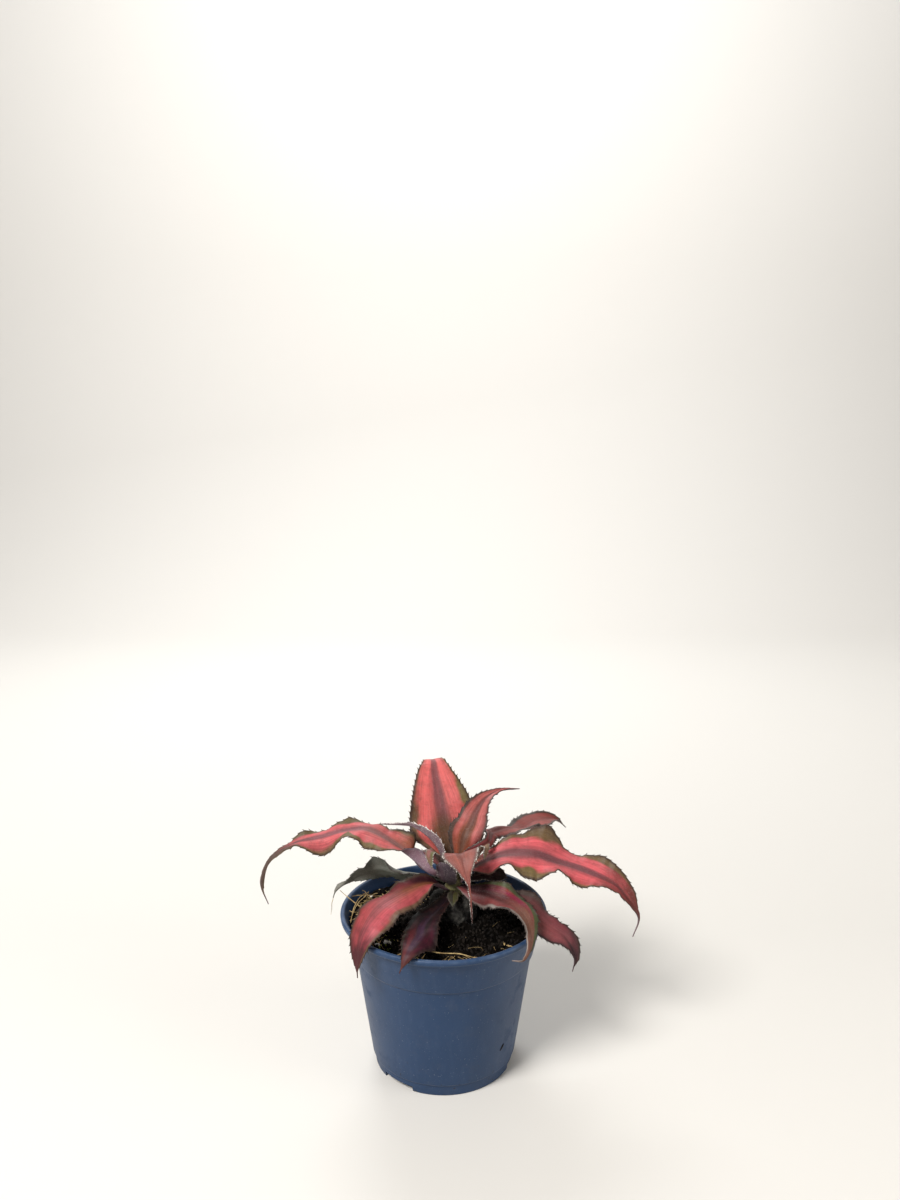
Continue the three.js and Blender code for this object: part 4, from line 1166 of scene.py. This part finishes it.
# %% The silver scales and the frost
def lay_scales(tree, given, face, clouds, below, colour):
    """Returns the colour with its scales and frost, and how thick the scales lie."""
    scales = rising(tree, grain(tree, face.place, 2600, detail=2), 0.5, 0.68)
    amount = plus(tree, given["scurf"], times(tree, below, 0.4))
    amount = times(tree, amount, scaled(tree, clouds, 0.3, 0.7, 0.5, 1.4))
    scurf = times(tree, plus(tree, times(tree, scales, 0.9), 0.1), amount)
    scurf = calc(tree, "MINIMUM", scurf, 1.0)
    colour = tint(tree, colour, SILVER, scurf)
    dots = rising(tree, grain(tree, face.place, 2200, detail=1), 0.48, 0.56)
    near_edge = rising(tree, face.from_middle, 0.86, 0.96)
    return tint(tree, colour, WHITE, dots, near_edge, given["frost"]), scurf


# %% The whole pattern, as a node group
def make_pattern():
    tree, given = begin_pattern()
    face = read_face(tree, given["seed"])
    colour = lay_stripe(tree, given, face, lay_bands(tree, given, face))
    colour = lay_edges(tree, given, face, colour)
    below = times(tree, face.underside, given["under_share"])
    clouds = grain(tree, face.place, 260, detail=3)
    colour = tint(tree, colour, given["under"], below)
    colour, scurf = lay_scales(tree, given, face, clouds, below, colour)
    bumps = plus(tree, face.lines, times(tree, scurf, 0.5))
    result = tree.nodes.new("NodeGroupOutput").inputs
    tree.links.new(colour, result["Color"])
    tree.links.new(scaled(tree, scurf, 0, 1, 0.5, 0.85), result["Roughness"])
    tree.links.new(plus(tree, bumps, times(tree, clouds, 0.6)), result["Height"])
    return tree


PATTERN = make_pattern()
print("pattern:", len(PATTERN.nodes), "nodes")


# %% One finish for each leaf
SEED_STEP = 3.7


def make_skin(name, colours, seed):
    material, tree, shader = new_material(name + "_skin", specular=0.22)
    group = tree.nodes.new("ShaderNodeGroup")
    group.node_tree = PATTERN
    for socket in PATTERN_COLOURS:
        codes = colours[socket.split("_")[0]].split()
        second = socket.endswith(("_right", "_high"))
        group.inputs[socket].default_value = paint(codes[-1] if second else codes[0])
    for socket, usual in PATTERN_NUMBERS.items():
        group.inputs[socket].default_value = colours.get(socket, usual)
    group.inputs["seed"].default_value = seed * SEED_STEP
    tree.links.new(group.outputs["Roughness"], shader.inputs["Roughness"])
    coat(tree, shader, group.outputs["Color"], group.outputs["Height"], 0.12, 0.6)
    return material


# %% [markdown]
# How broad the olive margin is differs from leaf to leaf and from place to place: it widens where the
# blade turns up to the light. Each leaf has two lists, for its left and its right margin, of places along
# it with the share of the half width that the margin takes there.

# %% The leaves' olive margins
RIMS = {
    "tall_back": (
        [(0, 0.26), (0.3, 0.2), (0.4, 0.24), (0.5, 0.1), (1, 0.08)],
        [(0.2, 0.08), (0.38, 0.1), (0.46, 0.3), (0.56, 0.26), (0.64, 0.1)]),
    "back_right": ([(0, 0.25), (0.3, 0.22), (0.5, 0.12), (1, 0.1)], [(0, 0.12), (1, 0.1)]),
    "right_back": ([(0.2, 0.2), (0.5, 0.4), (0.7, 0.2)], [(0, 0.1), (0.6, 0.2), (0.75, 0.1)]),
    "big_right": (
        [(0, 0.2), (0.25, 0.2), (0.3, 0.12), (0.4, 0.42), (0.52, 0.08), (0.66, 0.26), (0.8, 0.08)],
        [(0, 0.06), (0.22, 0.06), (0.32, 0.38), (0.43, 0.06), (0.6, 0.14), (0.7, 0.06)]),
    "long_left": (
        [(0.25, 0.12), (0.34, 0.3), (0.38, 0.16), (0.43, 0.3), (0.46, 0.75), (0.5, 0.2), (0.6, 0.16)],
        [(0, 0.1), (0.37, 0.12), (0.46, 0.5), (0.54, 0.15), (0.62, 0.4), (0.72, 0.12)]),
    "front_left": ([(0.1, 0.1), (0.25, 0.18), (0.5, 0.2), (1, 0.12)], [(0, 0.12), (0.4, 0.18), (0.6, 0.1)]),
    "front_small": ([(0, 0.1), (1, 0.1)], [(0, 0.2), (1, 0.16)]),
    "left_back": ([(0, 0.15), (1, 0.15)], [(0, 0.15), (1, 0.15)]),
    "front_right": (
        [(0.1, 0.1), (0.32, 0.3), (0.5, 0.34), (0.6, 0.45), (0.9, 0.5)],
        [(0.15, 0.08), (0.3, 0.3), (0.6, 0.3), (0.8, 0.2)]),
    "lower_right": ([(0.2, 0.45), (0.4, 0.3), (0.5, 0.12), (1, 0.14)], [(0, 0.1), (1, 0.14)]),
    "heart_cup": ([(0, 0.2), (1, 0.3)], [(0, 0.1), (1, 0.2)]),
}
THIN_RIM = ([(0, 0.12), (1, 0.12)], [(0, 0.12), (1, 0.12)])

# %% [markdown]
# The colours of each leaf. The ones in full light are coral pink, the ones low down in the shade are
# maroon or grey-green, and on several of these the darkest parts are painted shade. The youngest are grey
# with scales. Two codes are for the left and the right half of the blade or, for the stripe, for its low
# and its high end. What a leaf leaves out is as usual.

# %% The leaves' colours
USUAL = dict(
    band="#cb5c5c", deep="#a64a4a", stripe="#64402a #744242", rim="#5e4a32", base="#84422f", tip="#7e3a3a",
    under="#6b5560")
SKINS = {
    "tall_back": dict(
        band="#de6664 #d86462", deep="#b4524c", stripe="#50371f #744044", rim="#5e442c #6a5a2e",
        base="#7c4a2a", tip="#c06260", base_reach=0.26, base_climb=0.14),
    "back_right": dict(
        band="#bc605a #c46a66", deep="#84423e", stripe="#5c3826 #6a3c3a", rim="#4a382e", base="#94482c",
        tip="#6a4046", stripe_width=0.24, mottle=0.6),
    # right_back: its dark maroon band and base are partly its own colour and partly painted shade on the
    # upper face.
    "right_back": dict(
        band="#8c3c36 #96423c", deep="#74342e", rim="#33281f #44302a", base="#5e1820", tip="#50362c",
        under="#7a4a46", stripe_share=0.25, scurf=0.05, base_reach=0.35, frost=0.15, under_share=0.15),
    "big_right": dict(
        band="#d65c62", deep="#ae484c", stripe="#6c4144 #643a40", rim="#665030 #6a5834",
        base="#94492c #9c4c40", tip="#6c2e28", base_reach=0.16, base_climb=0.05, tip_from=0.62),
    "long_left": dict(
        band="#cf5e62", deep="#b05054", stripe="#7a5450 #7c4c52", rim="#6a5a38 #5e5236",
        base="#a2564a #855030", tip="#54423a", under="#786272", base_reach=0.42, base_climb=0.0,
        tip_from=0.56),
    "young_curled": dict(
        band="#5a3c42", deep="#4c3036", rim="#46303a", base="#6a545c", tip="#382a2e", under="#644e58",
        stripe_share=0.2, scurf=0.22, frost=0.9),
    "heart_cup": dict(
        band="#64603c #8a5450", deep="#6a5a42", rim="#6a6a4c #7c6054", base="#50363c", tip="#6e6444",
        under="#66544e", stripe_share=0.1, scurf=0.12, frost=0.6),
    "front_hanging": dict(
        band="#94544a", deep="#844a44", rim="#6c524a", base="#784844", tip="#503836", stripe_share=0.2,
        scurf=0.1, frost=0.6),
    "heart_ruffled": dict(
        band="#84684e", deep="#745e48", rim="#7c6c54", base="#5c3836", tip="#7a6a4c", under="#7e6a58",
        stripe_share=0.1, scurf=0.18, frost=0.7),
    # front_left: the near-black base of its right (far) half is partly its own maroon and partly painted
    # shade.
    "front_left": dict(
        band="#ba4e58 #a8464a", deep="#a24448 #7c3530", stripe="#8c5436 #82464a", rim="#66503c #44382c",
        base="#a84a4c #2a0510", tip="#4c2026", stripe_share=0.6, scurf=0.02, base_reach=0.7, base_climb=0.0,
        tip_from=0.66),
    # front_small: its near-black base, reaching over most of the blade, and its dark colours are painted
    # shade under front_left.
    "front_small": dict(
        band="#440f23 #52151d", deep="#200810", stripe="#14080f #341830", rim="#1e0d0f #28241d",
        base="#080404", tip="#5a302a", scurf=0.0, base_reach=0.62, mottle=0.8),
    "left_back": dict(
        band="#888e84", deep="#545950", rim="#363a30", base="#5a6056", tip="#4a3226", under="#848a80",
        stripe_share=0.15, tip_from=0.46, mottle=0.8, under_share=0.5),
    # front_right: the magenta far (left) half, its near-black left base and the darkened left rim are
    # painted shade; the near half keeps its salmon colour.
    "front_right": dict(
        band="#821438 #8c4442", deep="#8c4a22 #7a3c3a", stripe="#3c161a #703a32", rim="#3f4724 #958b84",
        base="#220911 #6a2c2e", tip="#6a4434", under="#847874", base_reach=0.44, base_climb=0.0,
        tip_from=0.46, mottle=0.6),
    # lower_right: the near-black olive base of its left half, reaching over most of the leaf, is partly its
    # own olive and partly painted shade.
    "lower_right": dict(
        band="#8a4248", deep="#6a2e36", rim="#3a2c26 #342024", base="#1c1c10 #5a3418", tip="#3c2226",
        stripe_share=0.25, scurf=0.05, base_reach=0.8, base_climb=0.0, tip_from=0.66),
    # small_left: its near-black stripe and base are partly its own dark purple and partly painted shade in
    # its folds.
    "small_left": dict(
        band="#33272f #4c3c48", deep="#32272f", stripe="#1e161a #1e161b", rim="#4a3c46", base="#1e161a",
        tip="#54444e", under="#463945", stripe_share=0.9, scurf=0.05, base_reach=0.5, frost=0.25,
        under_share=0.5),
    "small_front": dict(
        band="#3a3a14 #2a2a22", deep="#2a2a14", rim="#42461f #46443a", base="#24230f", tip="#32321a",
        under="#302e24", stripe_share=0.0, scurf=0.06),
    "old_right": dict(
        band="#2c1c18", deep="#1e1412", rim="#332c27", base="#1c1010", tip="#26201a", under="#2c2624",
        stripe_share=0.2, frost=0.4),
    # The hidden leaves are darker than the lit ones: partly their own colour, partly painted shade at the
    # back of the rosette.
    "hidden_back": dict(band="#843a40", deep="#683034", base="#3c181e"),
    "hidden_right": dict(band="#74323a", deep="#5a2a30", base="#34161c"),
    "hidden_left": dict(band="#8e3c42", deep="#743236", base="#603426"),
}
print("leaves with colours of their own:", len(SKINS))

# %% Grow every leaf
leaves = {}
for number, (name, shape) in enumerate(LEAVES.items()):
    leaf = grown({**shape, "rims": RIMS.get(name, THIN_RIM)})
    mesh = make_blade(name + "_leaf", leaf, number + 1)
    piece = shown(name + "_leaf", mesh)
    skin = make_skin(name, {**USUAL, **SKINS[name]}, number + 1)
    use_tree(piece, SPINES, Length=SPINE_LENGTH * MM, Width=SPINE_WIDTH * MM, Seed=number, Finish=skin)
    leaves[name] = settled(piece)
    print(name, round(leaf["length"]), "mm,", len(piece.data.polygons), "faces")

# %% [markdown]
# ## What lies on the peat
#
# Potting mix is full of odd bits: dark crumbs everywhere, tan fibres and slivers of bark, mostly at the
# left and along the front, a few white grains of perlite, and a little moss. Each kind is scattered by
# Geometry Nodes from a small shape with few faces. The soil stores how much of each it carries where.

# %% Where the litter lies
def in_patch(x, y, x0, y0, reach):
    return 1 - smooth_step(np.hypot(x - x0, y - y0), 0.4 * reach, reach)


def store_litter(mesh):
    """Stores, on the soil's points, how densely crumbs, litter, moss and perlite lie there."""
    x, y, z = np.array([vertex.co for vertex in mesh.vertices]).T / MM
    top = (z > SOIL_TOP - 5) & (np.hypot(x, y) < pot_inside(SOIL_TOP) - 2.2)
    top &= np.hypot(x - PLUG_AT[0], y - PLUG_AT[1]) > PLUG_RADIUS + 1.2
    left = smooth_step(-x, 24, 36)
    front = smooth_step(-y, 28, 37) * (x < 20)
    store(mesh, "crumbs", top * 1.0)
    store(mesh, "litter", top * np.minimum(1, 0.02 + left + 0.6 * front))
    moss = in_patch(x, y, -30, -20, 14) + 0.8 * in_patch(x, y, -36, 2, 14) + in_patch(x, y, -26, -30, 8)
    store(mesh, "moss", top * (np.minimum(1, moss) + 2 * in_patch(x, y, -26, -25, 4)))
    perlite = in_patch(x, y, -35, 19, 7) + in_patch(x, y, -33, -8, 6) + 4 * in_patch(x, y, -24, -23, 5)
    store(mesh, "perlite", top * perlite)


store_litter(soil.data)
print("litter maps:", [a.name for a in soil.data.attributes if a.domain == "POINT"][:6])


# %% Helpers for bits on the soil
SOWN = dict(Weight="String", Density="Float", Seed="Int")


def sown(tree, given):
    """Points on the faces, as dense as the stored weight says."""
    weight = stored(tree, given["Weight"])
    return add(tree, "GeometryNodeDistributePointsOnFaces", {
        "Mesh": given["Geometry"], "Density": times(tree, weight, given["Density"]), "Seed": given["Seed"]})


def chance_vector(tree, low, high, seed):
    return add(tree, "FunctionNodeRandomValue", {0: low, 1: high, "Seed": seed}, data_type="FLOAT_VECTOR")


def pushed(tree, instances, scale, middle, reach):
    """Makes the instances real and moves each of their points by a noise, away from its middle value."""
    real = add(tree, "GeometryNodeRealizeInstances", {"Geometry": instances})
    place = add(tree, "GeometryNodeInputPosition")
    wind = add(tree, "ShaderNodeTexNoise", {"Vector": place, "Scale": scale, "Detail": 1.0}, out="Color")
    centred = add(tree, "ShaderNodeVectorMath", [wind, middle], operation="SUBTRACT")
    push = add(tree, "ShaderNodeVectorMath", {0: centred, "Scale": reach}, operation="SCALE")
    return add(tree, "GeometryNodeSetPosition", {"Geometry": real, "Offset": push})


def strewn(name, tree, weight, density, seed, finish, **sizes):
    """Strews bits over a copy of the soil; density is in bits per square centimetre."""
    piece = shown(name, soil.data.copy())
    use_tree(piece, tree, Weight=weight, Density=density * 1e4, Seed=seed, Finish=finish, **sizes)
    print(name, len(settled(piece).data.polygons), "faces")
    return piece


# %% A tree that scatters bits on the soil
def make_scatter_tree():
    tree, given = new_tree("scatter_bits", **SOWN, Smallest="Vector", Largest="Vector", Tilt="Float")
    bit = add(tree, "GeometryNodeMeshIcoSphere", {"Radius": 1.0, "Subdivisions": 1})
    turn_up = chance_vector(tree, (0, 0, 0), (1, 1, 2 * math.pi), given["Seed"])
    tilt = add(tree, "ShaderNodeCombineXYZ", [given["Tilt"], given["Tilt"], 1.0])
    turn = add(tree, "ShaderNodeVectorMath", [turn_up, tilt], operation="MULTIPLY")
    placed = add(tree, "GeometryNodeInstanceOnPoints", {
        "Points": sown(tree, given), "Instance": bit, "Rotation": turn,
        "Scale": chance_vector(tree, given["Smallest"], given["Largest"], given["Seed"])})
    dented = pushed(tree, placed, 900.0, (0.5, 0.5, 0.5), 0.7 * MM)
    return end_tree(tree, dented, given["Finish"])


SCATTER = make_scatter_tree()
print("tree:", SCATTER.name, "with", len(SCATTER.nodes), "nodes")


# %% Finishes of the bits
def make_speckled(name, dark, light, scale, roughness=0.9):
    material, tree, shader = new_material(name, roughness=roughness, specular=0.25)
    place = object_place(tree)
    pattern = grain(tree, place, scale, detail=3)
    colour = blend(tree, rising(tree, pattern, 0.3, 0.7), dark, light)
    coat(tree, shader, colour, grain(tree, place, 3 * scale, detail=3), 0.15, 0.8)
    return material


CRUMB_FINISH = make_speckled("dark_crumb", "#070504", "#1f1812", 260)
BARK_FINISH = make_speckled("tan_bark", "#54402a", "#b89c6c", 220)
MOSS_FINISH = make_speckled("green_moss", "#454c18", "#a0ab55", 330)
PERLITE_FINISH = make_speckled("white_perlite", "#b9b5a8", "#efece2", 500, roughness=0.8)

# %% Scatter them
BITS = [  # name, weight, density, smallest and largest half lengths in millimetres, tilt, seed, finish
    ("peat_crumbs", "crumbs", 40, (0.3, 0.3, 0.25), (1.1, 0.9, 0.6), 3.0, 3, CRUMB_FINISH),
    ("bark_slivers", "litter", 20, (0.5, 0.2, 0.15), (3.0, 0.6, 0.4), 0.4, 5, BARK_FINISH),
    ("moss_bits", "moss", 14, (0.3, 0.3, 0.3), (0.8, 0.8, 0.6), 3.0, 8, MOSS_FINISH),
    ("perlite_grains", "perlite", 3.2, (0.5, 0.5, 0.4), (1.3, 1.1, 0.9), 3.0, 11, PERLITE_FINISH),
]
litter = []
for name, weight, density, smallest, largest, tilt, seed, finish in BITS:
    litter.append(strewn(
        name, SCATTER, weight, density, seed, finish, Tilt=tilt,
        Smallest=tuple(v * MM for v in smallest), Largest=tuple(v * MM for v in largest)))

# %% [markdown]
# The fibres are thin bent threads. They start as straight lines on the soil, a noise bends them, and a
# small round profile gives them their thickness.


# %% A tree that lays fibres
FIBRE_LIFT = 0.4


def make_fibre_tree():
    tree, given = new_tree("lay_fibres", **SOWN, Length="Float", Radius="Float", Bend="Float")
    start, end = (
        add(tree, "ShaderNodeCombineXYZ", [times(tree, given["Length"], half), 0.0, FIBRE_LIFT * MM])
        for half in (-0.5, 0.5))
    line = add(tree, "GeometryNodeCurvePrimitiveLine", {"Start": start, "End": end})
    fine = add(tree, "GeometryNodeResampleCurve", {"Curve": line, "Count": 10})
    placed = add(tree, "GeometryNodeInstanceOnPoints", {
        "Points": sown(tree, given), "Instance": fine,
        "Rotation": chance_vector(tree, (-0.25, -0.25, 0), (0.25, 0.25, 2 * math.pi), given["Seed"]),
        "Scale": add(tree, "FunctionNodeRandomValue", {2: 0.35, 3: 1.0, "Seed": given["Seed"]}, out=1)})
    bent = pushed(tree, placed, 170.0, (0.5, 0.5, 0.4), given["Bend"])
    ring = add(tree, "GeometryNodeCurvePrimitiveCircle", {"Resolution": 4, "Radius": given["Radius"]})
    tube = add(tree, "GeometryNodeCurveToMesh", {"Curve": bent, "Profile Curve": ring, "Fill Caps": True})
    return end_tree(tree, tube, given["Finish"])


FIBRES = make_fibre_tree()
FIBRE_FINISH = make_speckled("tan_fibre", "#6b5335", "#c3aa78", 260)
FIBRE_KINDS = [  # name, weight, density, length, radius and bend in millimetres, seed
    ("long_fibres", "litter", 6, 12, 0.17, 5, 2),
    ("short_fibres", "litter", 12, 5, 0.1, 3, 7),
    ("stray_fibres", "crumbs", 0.6, 8, 0.06, 6, 13),
]
for name, weight, density, length, radius, bend, seed in FIBRE_KINDS:
    litter.append(strewn(name, FIBRES, weight, density, seed, FIBRE_FINISH,
                         Length=length * MM, Radius=radius * MM, Bend=bend * MM))

# %% [markdown]
# A few larger straws are laid one by one: a long one at the front, some that lean on the wall at the left,
# and a dried thread that hangs from the tip of the leaf there.

# %% The larger straws
STRAWS = {
    "front_straw": (0.26, [(-22, -35.8, 65.2), (-15.3, -34.6, 67.2), (-8.1, -34.4, 68), (-1.2, -34.5, 67),
                           (6.8, -34.4, 66.5), (12.8, -35.8, 65.6), (17, -36.6, 64.6)]),
    "rim_straw": (0.25, [(-32, 1, 65.5), (-38, 5, 67.5), (-43, 8, 70), (-46.4, 10, 72)]),
    "wall_straw": (0.2, [(-40, -7, 65.5), (-39.5, 2, 67.5), (-37.5, 9, 69), (-34, 17, 68)]),
    "crossed_straw": (0.18, [(-37, 19, 66), (-35, 12, 68.6), (-38, 3, 69), (-40, -5, 66.5)]),
    "low_straw": (0.2, [(-24, -27, 64), (-29, -21, 66.4), (-34, -16, 66.8), (-38.5, -11, 65.4)]),
    "dried_thread": (0.13, [(-48.9, 6, 70.6), (-49.6, 6, 68), (-49.8, 6.2, 65), (-50.2, 6, 62.4)]),
}


def make_straw(name, thickness, route, rings=50, sides=8):
    """A thin tube along given points, in millimetres, that is thinner at its ends."""
    place_at, direction_at, length = midrib_curve(route)
    t = np.linspace(0, 1, rings)
    centre, ahead = place_at(t), direction_at(t)
    side = unit(np.cross(ahead, (0.3, 0.9, 0.3)))
    up = np.cross(side, ahead)
    points = []
    for i in range(rings):
        radius = thickness * (0.55 + 0.45 * math.sin(math.pi * min(1, 0.15 + t[i])))
        for k in range(sides):
            angle = 2 * math.pi * k / sides
            points.append(centre[i] + radius * (side[i] * math.cos(angle) + up[i] * math.sin(angle)))
    caps = [range(sides), range(len(points) - sides, len(points))]
    mesh = mesh_in_mm(name, points, [*tube_faces(rings, sides), *caps])
    straw = shown(name, clean(mesh, sharp_angle=60))
    straw.data.materials.append(FIBRE_FINISH)
    print(name, round(length), "mm long")
    return straw


litter += [make_straw(name, *straw) for name, straw in STRAWS.items()]

# %% [markdown]
# A small dark flat blob sits on the wall at the front right, pressed to the taper.


# %% The flake on the wall
FLAKE_FROM, FLAKE_TO = Vector((23.9, -22.9, 15.8)), Vector((25.5, -21.8, 18.3))
FLAKE_HALVES = (1.7, 0.62, 0.32)


def make_flake():
    work = bmesh.new()
    bmesh.ops.create_icosphere(work, subdivisions=3, radius=1)
    middle = (FLAKE_FROM + FLAKE_TO) / 2
    outward = Vector((middle.x, middle.y, 0)).normalized()
    long_way = (FLAKE_TO - FLAKE_FROM).normalized()
    short_way = long_way.cross(outward).normalized()
    outward = short_way.cross(long_way).normalized()
    half_length, half_width, half_depth = FLAKE_HALVES
    for vertex in work.verts:
        x, y, z = vertex.co
        bump = 1 + 0.3 * noise.noise((3 * x, 3 * y, 3 * z))
        along_wall = long_way * (half_length * x * bump) + short_way * (half_width * y * bump)
        vertex.co = (middle + along_wall + outward * half_depth * z) * MM
    flake = shown("dark_wall_blob", clean(mesh_of(work, "dark_wall_blob")))
    flake.data.materials.append(CRUMB_FINISH)
    return flake


flake = make_flake()
print("flake on the wall:", len(flake.data.polygons), "faces")

# %% [markdown]
# ## Join the pieces to the frame
#
# Nothing on this object moves, so every piece rides on the one body, root. Each piece that stands for a
# solid hides it.

# %% Ride and replace
PIECES = [(pot, "pot", "pot_plastic"), (soil, "soil", "peat"), (plug, "root_plug", "plug"),
          (stem, "stem", "stem")]
PIECES += [(piece, "leaf_" + name, LEAVES[name]["slot"]) for name, piece in leaves.items()]
for piece, node, slot in PIECES:
    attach(piece, "root")
    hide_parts(node)
for piece in [*litter, flake]:
    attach(piece, "root")
print("pieces:", len(PIECES) + len(litter) + 1)
